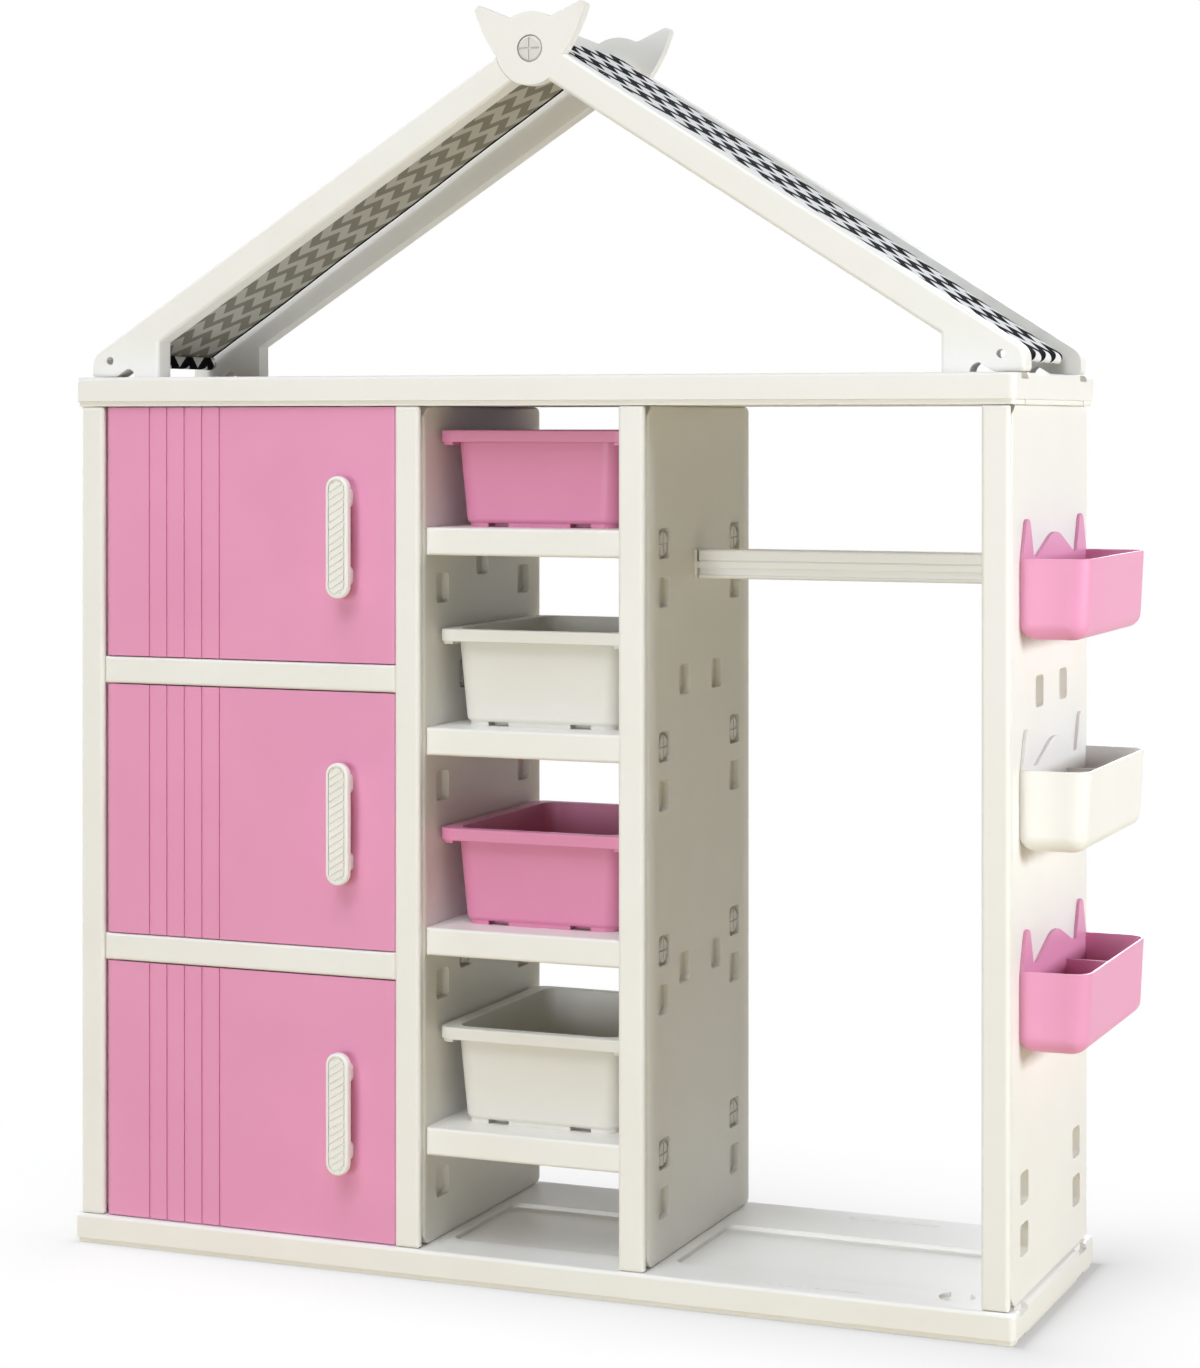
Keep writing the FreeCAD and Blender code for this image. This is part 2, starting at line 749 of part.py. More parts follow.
def shelf_screws(x, places):
    """Screws in a panel's pockets, driven left into the shelves."""
    seat_x = x + half_panel - pocket_depth
    length = panel_thickness - pocket_depth + shelf_screw_grip
    sizes = (shelf_screw_head_diameter, shelf_screw_head_height, shelf_screw_diameter, length)
    return Part.makeCompound([screw((seat_x, y, z), (-1, 0, 0), *sizes) for y, z in places])


def make_back_plate(low, high):
    """Back plate of one cupboard cell, with a rim round its edge."""
    plate_low = (cupboard_low_x + fit_clearance, low)
    plate_high = (cupboard_high_x - fit_clearance, high - fit_clearance)
    y = shelf_back_y - back_plate_inset
    outside = even_face(plate_low, plate_high, 0, facing(y)).extrude(V(0, -back_plate_rim, 0))
    field_low = (plate_low[0] + back_plate_thickness, plate_low[1] + back_plate_thickness)
    field_high = (plate_high[0] - back_plate_thickness, plate_high[1] - back_plate_thickness)
    field_y = y - back_plate_thickness
    field = even_face(field_low, field_high, back_plate_rim, facing(field_y))
    return outside.cut(field.extrude(V(0, -back_plate_rim, 0)))


def handle_middle(low, high):
    """Height of a handle's middle, a little below the door's own."""
    return (low + high) / 2 - handle_drop


def handle_screw_points(low, high):
    """Heights of a door's two handle screws."""
    middle = handle_middle(low, high)
    return (middle - handle_leg_spacing / 2, middle + handle_leg_spacing / 2)


def make_door(low, high):
    """Door open at the back, with five grooves in front and hinge pins on its rounded left edge."""
    radius = door_thickness / 2
    edge = min(door_edge_radius, radius * corner_limit_share)
    turn = edge * (1 - round_mid_share)
    at = flat(low)
    plan = outline_face((
        (at(hinge_x, door_back_y), at(hinge_x - radius, hinge_y), at(hinge_x, door_front_y)),
        (at(hinge_x, door_front_y), at(door_high_x - edge, door_front_y)),
        (at(door_high_x - edge, door_front_y), at(door_high_x - turn, door_front_y + turn),
         at(door_high_x, door_front_y + edge)),
        (at(door_high_x, door_front_y + edge), at(door_high_x, door_back_y)),
        (at(door_high_x, door_back_y), at(hinge_x, door_back_y)),
    ))
    body = plan.extrude(V(0, 0, high - low))
    inner_low = (hinge_x + radius, door_front_y + door_wall + door_groove_depth, low + door_wall)
    inner_high = (door_high_x - door_wall, door_back_y + cut_overrun, high - door_wall)
    kept = []
    for z in spread(low, high, door_rib_spacing):
        rib_low = (hinge_x, door_front_y, z - door_wall / 2)
        kept.append(block(rib_low, (door_high_x, door_back_y, z + door_wall / 2)))
    bores = []
    for z in handle_screw_points(low, high):
        half = handle_boss_width / 2
        boss_low = (handle_x - half, door_front_y, z - half)
        kept.append(block(boss_low, (handle_x + half, door_front_y + handle_boss_depth, z + half)))
        seat = (handle_x, door_front_y + handle_boss_depth, z)
        bore_radius = handle_screw_diameter / 2 + fit_clearance
        bores.append(rod((handle_x, door_front_y, z), seat, bore_radius))
        recess_radius = handle_screw_head_diameter / 2 + fit_clearance
        bores.append(rod(seat, (handle_x, door_back_y, z), recess_radius))
    hollow = block(inner_low, inner_high).cut(kept)
    grooves = []
    for i in range(door_groove_count):
        x = cupboard_low_x + door_gap + door_first_groove + i * door_groove_pitch
        start = (x - door_groove_width / 2, door_front_y - door_groove_depth, low)
        grooves.append(block(start, (x + door_groove_width / 2, door_front_y + door_groove_depth, high)))
    pin_reach = door_level_gap + hinge_pin_length - fit_clearance
    pin_start = (hinge_x, hinge_y, low - pin_reach)
    pin = rod(pin_start, (hinge_x, hinge_y, high + pin_reach), hinge_pin_diameter / 2)
    return body.cut([hollow] + bores + grooves).fuse(pin).removeSplitter()


def make_handle(low, high):
    """Bar handle with round ends and a sunken face, on two legs bored for screws from behind."""
    middle = handle_middle(low, high)
    half_width = handle_width / 2
    bar_back = door_front_y - handle_standoff
    bar_front = bar_back - handle_bar_thickness
    low_corner = (handle_x - half_width, middle - handle_length / 2)
    high_corner = (handle_x + half_width, middle + handle_length / 2)
    bar = even_face(low_corner, high_corner, half_width, facing(bar_back))
    bar = bar.extrude(V(0, -handle_bar_thickness, 0))
    rims = [e for e in bar.Edges if e.BoundBox.YLength < edge_tolerance]
    bar = bar.makeFillet(handle_edge_radius, rims)
    inset = handle_face_inset
    face_low = (low_corner[0] + inset, low_corner[1] + inset)
    face_high = (high_corner[0] - inset, high_corner[1] - inset)
    face = even_face(face_low, face_high, half_width - inset, facing(bar_front + handle_face_depth))
    bar = bar.cut(face.extrude(V(0, -handle_face_depth - cut_overrun, 0)))
    legs = []
    bores = []
    for z in handle_screw_points(low, high):
        leg_low = (handle_x - handle_leg_width / 2, z - handle_leg_length / 2)
        leg_high = (handle_x + handle_leg_width / 2, z + handle_leg_length / 2)
        leg = even_face(leg_low, leg_high, handle_leg_radius, facing(door_front_y))
        legs.append(leg.extrude(V(0, -handle_standoff - handle_edge_radius, 0)))
        bore_end = (handle_x, door_front_y - handle_screw_grip - screw_clearance, z)
        bore_radius = handle_screw_diameter / 2 + screw_clearance
        bores.append(rod((handle_x, door_front_y, z), bore_end, bore_radius))
    return bar.fuse(legs).cut(bores).removeSplitter()


def handle_screws(low, high):
    """Two screws from inside a door into its handle."""
    seat_y = door_front_y + handle_boss_depth
    length = handle_boss_depth + handle_screw_grip
    sizes = (handle_screw_head_diameter, handle_screw_head_height, handle_screw_diameter, length)
    points = handle_screw_points(low, high)
    return Part.makeCompound([screw((handle_x, seat_y, z), (0, -1, 0), *sizes) for z in points])


def bin_section(inset_x, inset_y, radius, z):
    """Plan wire of a bin, drawn in from its rim."""
    low = (bin_low_x + bin_side_gap + inset_x, front_y + bin_front_setback + inset_y)
    high = (bin_high_x - bin_side_gap - inset_x, back_y - bin_back_setback - inset_y)
    return even_face(low, high, radius, flat(z))


def bin_cup(wall, low, high):
    """Tapered body of a bin, drawn in by a wall."""
    bottom_radius = bin_corner_radius - wall
    side_in = bin_side_flange + wall
    front_in = bin_front_flange + wall
    lower = bin_section(side_in + bin_body_taper, front_in + bin_body_taper, bottom_radius, low).OuterWire
    upper = bin_section(side_in, front_in, bottom_radius, high).OuterWire
    cup = Part.makeLoft([lower, upper], True, True)
    return cup.makeFillet(bin_bottom_radius - wall, level_edges(cup, low))


def bin_runners(band_low):
    """Bars under a bin's two side flanges, from just inside the rim to the body."""
    low = band_low - bin_runner_height
    high = band_low + bin_wall
    plan = bin_section(bin_runner_inset, bin_runner_inset, bin_rim_radius - bin_runner_inset, low)
    slab = plan.extrude(V(0, 0, high - low))
    reach = bin_side_gap + bin_side_flange + bin_wall
    left = block((bin_low_x, front_y, low), (bin_low_x + reach, back_y, high))
    right = block((bin_high_x - reach, front_y, low), (bin_high_x, back_y, high))
    return [slab.common(left), slab.common(right)]


def make_bin(shelf_low):
    """Open bin with a flanged rim, a turned-down band, runners at the sides and a notched foot."""
    low = shelf_low + shelf_height
    floor = low + bin_foot_height
    high = low + bin_height
    band_low = high - bin_band_height
    band = bin_section(0, 0, bin_rim_radius, band_low).extrude(V(0, 0, bin_band_height))
    band = band.makeFillet(bin_rim_edge_radius, level_edges(band, high))
    hollow_low = band_low - cut_overrun
    band_hollow = bin_section(bin_wall, bin_wall, bin_rim_radius - bin_wall, hollow_low)
    band = band.cut(band_hollow.extrude(V(0, 0, bin_band_height - bin_wall + cut_overrun)))
    foot_x = bin_side_flange + bin_body_taper + bin_foot_inset
    foot_y = bin_front_flange + bin_body_taper + bin_foot_inset
    foot_radius = bin_corner_radius - bin_foot_inset
    foot = bin_section(foot_x, foot_y, foot_radius, low).extrude(V(0, 0, bin_foot_height + bin_wall / 2))
    foot_front = front_y + bin_front_setback + foot_y
    foot_back = back_y - bin_back_setback - foot_y
    cuts = []
    for x in (-bin_foot_notch_spacing / 2, bin_foot_notch_spacing / 2):
        half = bin_foot_notch_width / 2
        cuts.append(block((x - half, front_y, low), (x + half, foot_front + bin_foot_notch_depth, floor)))
        cuts.append(block((x - half, foot_back - bin_foot_notch_depth, low), (x + half, back_y, floor)))
    cup = bin_cup(0, floor, high - bin_rim_edge_radius)
    inside = bin_cup(bin_wall, floor + bin_wall, high + cut_overrun)
    return cup.fuse([band, foot.cut(cuts)] + bin_runners(band_low)).cut(inside).removeSplitter()


def caddy_outline(inset, reach, z):
    """Plan wire of a caddy's box: straight against the panel, rounded outside."""
    wall_x = outer_face_x + fit_clearance + min(inset, caddy_plate_thickness)
    low = (wall_x, front_y + caddy_front_setback + inset)
    high = (outer_face_x + reach - inset, back_y - caddy_back_setback - inset)
    radii = (0, caddy_corner_radius - inset, caddy_corner_radius - inset, 0)
    return rounded_face(low, high, radii, flat(z)).OuterWire


def caddy_box(inset, low, high):
    """Tapered box of a caddy with rounded bottom edges, drawn in by an inset."""
    wires = [caddy_outline(inset, caddy_reach - caddy_taper, low), caddy_outline(inset, caddy_reach, high)]
    box = Part.makeLoft(wires, True, True)
    radius = caddy_bottom_radius - inset
    heel_x = outer_face_x + fit_clearance + min(inset, caddy_plate_thickness)
    edges = [edge for edge in level_edges(box, low) if edge.BoundBox.XMax > heel_x + edge_tolerance]
    heel_high = (outer_face_x + caddy_reach, high)
    heel = rounded_face((heel_x, low), heel_high, (radius, 0, 0, 0), facing(front_y))
    return box.makeFillet(radius, edges).common(heel.extrude(V(0, depth, 0)))


def caddy_plate(rim):
    """Back plate of a caddy: a low hump between two rounded ears stands above the rim."""
    at = side(outer_face_x + fit_clearance)
    low = rim - caddy_height + caddy_bottom_radius
    y0 = front_y + caddy_front_setback
    y1 = back_y - caddy_back_setback
    pieces = [(at(y0, low), at(y1, low)), (at(y1, low), at(y1, rim))]
    hump_1 = (y0 + y1 + caddy_hump_width) / 2
    hump_0 = (y0 + y1 - caddy_hump_width) / 2
    ear = (caddy_ear_width, caddy_ear_height, caddy_ear_tip_radius)
    pieces += caddy_peak(at, y1, rim, *ear)
    pieces.append((at(y1 - caddy_ear_width, rim), at(hump_1, rim)))
    pieces += caddy_peak(at, hump_1, rim, caddy_hump_width, caddy_hump_height, caddy_hump_top_radius)
    pieces.append((at(hump_0, rim), at(y0 + caddy_ear_width, rim)))
    pieces += caddy_peak(at, y0 + caddy_ear_width, rim, *ear)
    pieces.append((at(y0, rim), at(y0, low)))
    return outline_face(pieces).extrude(V(caddy_plate_thickness, 0, 0))


def caddy_peak(at, start_y, rim, peak_width, peak_height, tip_radius):
    """Outline of an ear or a hump from back to front: two straight sides and a round tip."""
    half = peak_width / 2
    tip_centre = rim + peak_height - tip_radius
    middle = start_y - half
    lean = math.atan2(half, tip_centre - rim)
    reach = math.hypot(half, tip_centre - rim)
    turn = lean - math.asin(tip_radius / reach)
    across = tip_radius * math.cos(turn)
    up = tip_radius * math.sin(turn)
    back_point = at(middle + across, tip_centre + up)
    front_point = at(middle - across, tip_centre + up)
    return [
        (at(start_y, rim), back_point),
        (back_point, at(middle, rim + peak_height), front_point),
        (front_point, at(start_y - peak_width, rim)),
    ]


def caddy_hook(y, rim):
    """Hook that passes through the panel's wall and turns down behind it."""
    half = caddy_hook_width / 2
    arm_low = rim - caddy_hook_level
    leg_x = outer_face_x - panel_wall - fit_clearance
    back_x = leg_x - caddy_hook_thickness
    arm_high = arm_low + caddy_hook_thickness
    arm = block((back_x, y - half, arm_low), (outer_face_x + caddy_plate_thickness, y + half, arm_high))
    leg = block((back_x, y - half, arm_low - caddy_hook_drop), (leg_x, y + half, arm_low))
    return arm.fuse(leg)


def make_caddy(rim):
    """Open box with an eared back plate, two dividers inside and two hooks behind."""
    low = rim - caddy_height
    inside = caddy_box(caddy_wall, low + caddy_wall, rim + cut_overrun)
    middle = (caddy_front_setback - caddy_back_setback) / 2
    dividers = []
    for y in (middle - caddy_divider_spacing / 2, middle + caddy_divider_spacing / 2):
        start = (outer_face_x, y - caddy_wall / 2, low)
        end = (outer_face_x + caddy_reach, y + caddy_wall / 2, low + caddy_divider_height)
        dividers.append(block(start, end))
    shell = caddy_box(0, low, rim).cut(inside.cut(dividers))
    hooks = [caddy_hook(y, rim) for y in caddy_hook_ys]
    return shell.fuse([caddy_plate(rim)] + hooks).removeSplitter()


def rail_section(inset_y, inset_z, x):
    """Upright section of the clothes rail, drawn in by insets."""
    low = (-rail_depth / 2 + inset_y, rail_z - rail_height / 2 + inset_z)
    high = (rail_depth / 2 - inset_y, rail_z + rail_height / 2 - inset_z)
    return even_face(low, high, rail_radius - min(inset_y, inset_z), side(x))


def rail_groove(start, end, middle_z, groove_height, groove_depth):
    """Two blocks along the rail's front and back, as deep as a groove there."""
    blocks = []
    for y in (-rail_depth / 2, rail_depth / 2):
        low = (start, y - groove_depth, middle_z - groove_height / 2)
        blocks.append(block(low, (end, y + groove_depth, middle_z + groove_height / 2)))
    return blocks


def make_rail():
    """Hollow square rail with a fine line and a channel along its front and back."""
    start = hanging_low_x + socket_plate_thickness + socket_gap
    end = hanging_high_x - socket_plate_thickness - socket_gap
    length = V(end - start, 0, 0)
    bore = rail_section(rail_channel_depth + rail_wall, rail_wall, start).extrude(length)
    lines = rail_groove(start, end, rail_z + rail_line_rise, rail_line_height, rail_line_depth)
    channels = rail_groove(start, end, rail_z - rail_channel_drop, rail_channel_height, rail_channel_depth)
    return rail_section(0, 0, start).extrude(length).cut([bore] + lines + channels)


def make_rail_socket(face_x, inward):
    """Plate on a panel with a stud behind it, a plug in the rail and a bridge to the rail's middle band."""
    plate = rail_section(0, 0, face_x).extrude(V(inward * socket_plate_thickness, 0, 0))
    plate_x = face_x + inward * socket_plate_thickness
    plug_inset = rail_wall + fit_clearance
    plug = rail_section(rail_channel_depth + plug_inset, plug_inset, plate_x)
    plug = plug.extrude(V(inward * (socket_gap + socket_plug_length), 0, 0))
    rail_x = plate_x + inward * socket_gap
    band_low = rail_z - rail_channel_drop + rail_channel_height / 2
    band_high = rail_z + rail_line_rise - rail_line_height / 2
    bridge_low = (min(plate_x, rail_x), -rail_depth / 2, band_low)
    bridge = block(bridge_low, (max(plate_x, rail_x), rail_depth / 2, band_high))
    stud_end = (face_x - inward * socket_stud_length, 0, rail_z)
    stud = rod((face_x, 0, rail_z), stud_end, socket_stud_diameter / 2)
    return plate.fuse([plug, bridge, stud]).removeSplitter()


def rafter_outline(sign, y):
    """Side of a rafter: a foot on the board, a sloping bar and a round eye at the ridge."""
    at = facing(y)
    half = rafter_width / 2
    along = (math.cos(pitch), -math.sin(pitch))
    across = (math.sin(pitch), math.cos(pitch))
    slope = math.tan(pitch)
    low_half = half + rafter_belly
    bar_low = ridge_z - low_half / math.cos(pitch) - foot_inner_x * slope
    eye_high = at(sign * half * across[0], ridge_z + half * across[1])
    eye_end = at(-sign * half * along[0], ridge_z - half * along[1])
    eye_low = at(-sign * low_half * across[0], ridge_z - low_half * across[1])
    notch_x = rafter_end_x - foot_notch_start
    notch_end_x = notch_x - foot_notch_length
    apex_x = notch_x - foot_notch_length * foot_notch_apex_share
    notch_foot = at(sign * notch_end_x, roof_base)
    notch_bow = at(sign * (notch_end_x + (apex_x - notch_end_x) * (1 - round_mid_share)),
                   roof_base + foot_notch_height * round_mid_share)
    apex = at(sign * apex_x, roof_base + foot_notch_height)
    toe_z = roof_base + rafter_toe_gap
    toe_turn = rafter_toe_radius * (1 - round_mid_share)
    toe_start = at(sign * (rafter_end_x - rafter_toe_radius), toe_z)
    toe_middle = at(sign * (rafter_end_x - toe_turn), toe_z + toe_turn)
    toe_end = at(sign * rafter_end_x, toe_z + rafter_toe_radius)
    turn = math.pi / 2 - pitch
    setback = rafter_end_radius * math.tan(turn / 2)
    end_x = rafter_end_x - rafter_end_radius
    end_z = roof_base + rafter_end_height - setback
    bend = []
    for angle in (0, turn / 2, turn):
        bend_x = end_x + rafter_end_radius * math.cos(angle)
        bend.append(at(sign * bend_x, end_z + rafter_end_radius * math.sin(angle)))
    inner_high = at(sign * foot_inner_x, bar_low)
    inner_low = at(sign * foot_inner_x, roof_base)
    pieces = [
        (eye_low, inner_high),
        (inner_high, inner_low),
        (inner_low, notch_foot),
        (notch_foot, notch_bow, apex),
        (apex, at(sign * notch_x, toe_z)),
        (at(sign * notch_x, toe_z), toe_start),
        (toe_start, toe_middle, toe_end),
        (toe_end, bend[0]),
        tuple(bend),
        (bend[2], eye_high),
        (eye_high, eye_end, eye_low),
    ]
    return outline_face(pieces)


def head_outline(y):
    """Face of the ridge plate: round below, with a low crown between two pointed ears above."""
    at = facing(y)
    pieces = []
    root_x = math.sqrt(head_radius ** 2 - head_ear_root_rise ** 2)
    root = {s: at(s * root_x, ridge_z - head_ear_root_rise) for s in (-1, 1)}
    valley = {s: at(s * head_valley_span, ridge_z + head_valley_rise) for s in (-1, 1)}
    tip = {}
    for s in (-1, 1):
        tip_outer = at(s * head_ear_span, ridge_z + head_ear_rise - head_ear_tip_radius)
        tip_inner = at(s * (head_ear_span - head_ear_tip_radius), ridge_z + head_ear_rise)
        turn = head_ear_tip_radius * (1 - round_mid_share)
        tip[s] = (tip_outer, at(s * (head_ear_span - turn), ridge_z + head_ear_rise - turn), tip_inner)
    bow = {}
    for s in (-1, 1):
        middle_x = (root_x + head_ear_span) * half_share - head_ear_tip_radius * half_share
        middle_z = (head_ear_rise - head_ear_tip_radius - head_ear_root_rise) * half_share
        bow[s] = at(s * (middle_x + head_ear_tip_radius), ridge_z + middle_z)
    pieces.append((root[-1], at(0, ridge_z - head_radius), root[1]))
    pieces.append((root[1], bow[1], tip[1][0]))
    pieces.append(tip[1])
    pieces.append((tip[1][2], valley[1]))
    pieces.append((valley[1], at(0, ridge_z + head_crown_rise), valley[-1]))
    pieces.append((valley[-1], tip[-1][2]))
    pieces.append(tuple(reversed(tip[-1])))
    pieces.append((tip[-1][0], bow[-1], root[-1]))
    return outline_face(pieces)


def rafter_bar(sign, outer, inner):
    """Rafter before it is cut, with the long edges and the inner end of its outer face rounded."""
    bar = rafter_outline(sign, outer).extrude(V(0, inner - outer, 0))
    edges = []
    for edge in bar.Edges:
        box = edge.BoundBox
        on_face = abs(box.YMin - outer) < edge_tolerance and abs(box.YMax - outer) < edge_tolerance
        tall = box.ZMax - box.ZMin
        if on_face and tall > rafter_end_height:
            edges.append(edge)
    return bar.makeFillet(rafter_edge_radius, edges)


def make_rafter(sign, facade):
    """Rafter on one side of the roof, front (-1) or rear (1), lapped at the ridge with its partner."""
    outer = facade * rafter_outer_y
    inner = facade * rafter_inner_y
    lap = facade * rafter_lap_y
    body = rafter_bar(sign, outer, inner)
    screw_bore = rod((0, outer, ridge_z), (0, inner, ridge_z), ridge_screw_diameter / 2 + fit_clearance)
    eave_bore = rod((sign * eave_rod_x, outer, eave_rod_z), (sign * eave_rod_x, inner, eave_rod_z),
                    eave_rod_diameter / 2 + screw_clearance)
    foot_bore = rod((sign * foot_screw_x, lap, roof_base),
                    (sign * foot_screw_x, lap, roof_base + foot_screw_grip + screw_clearance),
                    foot_screw_diameter / 2 + screw_clearance)
    bores = [screw_bore, eave_bore, foot_bore]
    if sign > 0:
        recess = rod((0, lap, ridge_z), (0, inner, ridge_z), head_radius + lap_clearance)
        plate = head_outline(outer).extrude(V(0, lap - outer, 0))
        seat = (0, outer - facade * ridge_screw_recess, ridge_z)
        bores.append(rod((0, outer, ridge_z), seat, ridge_screw_head_diameter / 2 + ridge_screw_recess_gap))
        return body.cut(recess).fuse(plate).cut(bores).removeSplitter()
    recess = rod((0, outer, ridge_z), (0, lap, ridge_z), head_radius + lap_clearance)
    return body.cut([recess] + bores).removeSplitter()


def make_ridge_rod():
    """Rod between the two roof frames under the peak, bored at both ends for the ridge screws."""
    bores = []
    for facade in (-1, 1):
        y = facade * rafter_inner_y
        end = y - facade * (ridge_screw_grip + screw_clearance)
        bores.append(rod((0, y, ridge_z), (0, end, ridge_z), ridge_screw_diameter / 2 + screw_clearance))
    start = (0, -rafter_inner_y, ridge_z)
    return rod(start, (0, rafter_inner_y, ridge_z), ridge_rod_diameter / 2).cut(bores)


def make_eave_rod(sign):
    """Rod through the feet of two rafters, its ends sunk a little below their faces."""
    reach = rafter_outer_y - eave_rod_recess
    start = (sign * eave_rod_x, -reach, eave_rod_z)
    return rod(start, (sign * eave_rod_x, reach, eave_rod_z), eave_rod_diameter / 2)


def ridge_screws():
    """Front and rear screws through the lapped rafters into the ridge rod, their heads sunk."""
    length = rafter_thickness - ridge_screw_recess + ridge_screw_grip
    sizes = (ridge_screw_head_diameter, ridge_screw_head_height, ridge_screw_diameter, length)
    seat_y = rafter_outer_y - ridge_screw_recess
    places = [((0, facade * seat_y, ridge_z), (0, -facade, 0)) for facade in (-1, 1)]
    return Part.makeCompound([screw(seat, direction, *sizes) for seat, direction in places])


def roof_foot_screws():
    """Four screws from below the top board's deck into the rafters' feet."""
    seat_z = roof_base - board_wall
    length = board_wall + foot_screw_grip
    sizes = (foot_screw_head_diameter, foot_screw_head_height, foot_screw_diameter, length)
    screws = []
    for x in (-foot_screw_x, foot_screw_x):
        for y in (-rafter_lap_y, rafter_lap_y):
            screws.append(screw((x, y, seat_z), (0, 0, 1), *sizes))
    return Part.makeCompound(screws)


def cloth_half(sign, y):
    """Cloth of one slope in section: a sleeve round the eave rod and a straight run to the ridge."""
    at = facing(y)
    eave_in = eave_rod_diameter / 2 + fit_clearance
    ridge_in = ridge_rod_diameter / 2 + fit_clearance
    run = math.hypot(eave_rod_x, ridge_z - eave_rod_z)
    angle = math.atan2(ridge_z - eave_rod_z, eave_rod_x) + math.asin((ridge_in - eave_in) / run)
    normal = (sign * math.sin(angle), math.cos(angle))

    def point(centre_x, centre_z, radius):
        return at(centre_x + normal[0] * radius, centre_z + normal[1] * radius)

    eave = (sign * eave_rod_x, eave_rod_z)
    ridge = (0, ridge_z)
    sheet = polygon_face([
        point(*eave, eave_in),
        point(*eave, eave_in + cloth_thickness),
        point(*ridge, ridge_in + cloth_thickness),
        point(*ridge, ridge_in),
    ])
    crown = outline_face((
        (point(*ridge, ridge_in), point(*ridge, ridge_in + cloth_thickness)),
        (point(*ridge, ridge_in + cloth_thickness),
         at(sign * math.sin(angle / 2) * (ridge_in + cloth_thickness),
            ridge_z + math.cos(angle / 2) * (ridge_in + cloth_thickness)),
         at(0, ridge_z + ridge_in + cloth_thickness)),
        (at(0, ridge_z + ridge_in + cloth_thickness), at(0, ridge_z + ridge_in)),
        (at(0, ridge_z + ridge_in),
         at(sign * math.sin(angle / 2) * ridge_in, ridge_z + math.cos(angle / 2) * ridge_in),
         point(*ridge, ridge_in)),
    ))
    return sheet, crown


def make_cloth():
    """One strip of cloth from eave to eave, sleeved on the eave rods and drawn over the ridge rod."""
    start = -rafter_inner_y + cloth_edge_gap
    span = V(0, -2 * start, 0)
    solids = []
    for sign in (-1, 1):
        solids += [face.extrude(span) for face in cloth_half(sign, start)]
        eave = (sign * eave_rod_x, start, eave_rod_z)
        end = (sign * eave_rod_x, -start, eave_rod_z)
        inner = eave_rod_diameter / 2 + fit_clearance
        solids.append(rod(eave, end, inner + cloth_thickness).cut(rod(eave, end, inner)))
    cloth = solids[0].fuse(solids[1:])
    return cloth.removeSplitter()


def door_levels():
    """Lowest and highest points of the three doors, from the top down."""
    cells = cell_levels()
    return [(low + door_level_gap, high - door_level_gap) for low, high in cells]


def cell_levels():
    """Floor and ceiling of the three cupboard cells, from the top down."""
    return (
        (upper_shelf_low + shelf_height, panel_top),
        (lower_shelf_low + shelf_height, upper_shelf_low),
        (base_top, lower_shelf_low),
    )


def make_door_stops():
    """Blocks under each cell's ceiling that the closed doors rest against."""
    ceilings = [ceiling for floor, ceiling in cell_levels()]
    return Part.makeCompound([door_stop(ceiling - door_stop_depth, ceiling) for ceiling in ceilings])


def make_parts():
    """Every piece by its name."""
    parts = {"base_board": make_base_board(), "top_board": make_top_board()}
    parts["base_connectors"] = make_connectors(base_top, 1)
    parts["top_connectors"] = make_connectors(panel_top, -1)
    parts["door_stops"] = make_door_stops()
    parts["left_panel"] = make_panel(-outer_x, inner_pocket_places, [], [])
    parts["left_divider"] = make_panel(-divider_x, inner_pocket_places, cupboard_screw_places, [])
    rail_hole = rail_stud_hole(hanging_low_x)
    parts["right_divider"] = make_panel(divider_x, shelf_pocket_places, bin_screw_places, [rail_hole])
    outer_openings = caddy_slots() + [rail_stud_hole(hanging_high_x)]
    parts["right_panel"] = make_panel(outer_x, outer_pocket_places, [], outer_openings)
    for i, low in enumerate(bin_shelf_lows, start=1):
        parts[f"bin_shelf_{i}"] = make_bin_shelf(low)
        parts[f"bin_{i}"] = make_bin(low)
    parts["bin_shelf_screws"] = shelf_screws(divider_x, bin_screw_places)
    for name, low in zip(("upper", "lower"), cupboard_shelf_lows):
        parts[f"cupboard_shelf_{name}"] = make_cupboard_shelf(low)
    parts["cupboard_shelf_screws"] = shelf_screws(-divider_x, cupboard_screw_places)
    for name, cell, levels in zip(("upper", "middle", "lower"), cell_levels(), door_levels()):
        parts[f"cupboard_back_{name}"] = make_back_plate(*cell)
        parts[f"door_{name}"] = make_door(*levels)
        parts[f"door_handle_{name}"] = make_handle(*levels)
        parts[f"handle_screws_{name}"] = handle_screws(*levels)
    for i, rim in enumerate(caddy_rims, start=1):
        parts[f"caddy_{i}"] = make_caddy(rim)
    parts["hanging_rail"] = make_rail()
    parts["rail_socket_left"] = make_rail_socket(hanging_low_x, 1)
    parts["rail_socket_right"] = make_rail_socket(hanging_high_x, -1)
    for facade_name, facade in (("front", -1), ("rear", 1)):
        for side_name, sign in (("left", -1), ("right", 1)):
            parts[f"{facade_name}_{side_name}_rafter"] = make_rafter(sign, facade)
    parts["ridge_rod"] = make_ridge_rod()
    parts["left_eave_rod"] = make_eave_rod(-1)
    parts["right_eave_rod"] = make_eave_rod(1)
    parts["ridge_screws"] = ridge_screws()
    parts["roof_foot_screws"] = roof_foot_screws()
    parts["roof_cloth"] = make_cloth()
    return parts


os.makedirs("parts", exist_ok=True)
for name, shape in make_parts().items():
    shape.exportStep(f"parts/{name}.step")
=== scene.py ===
import json
import math

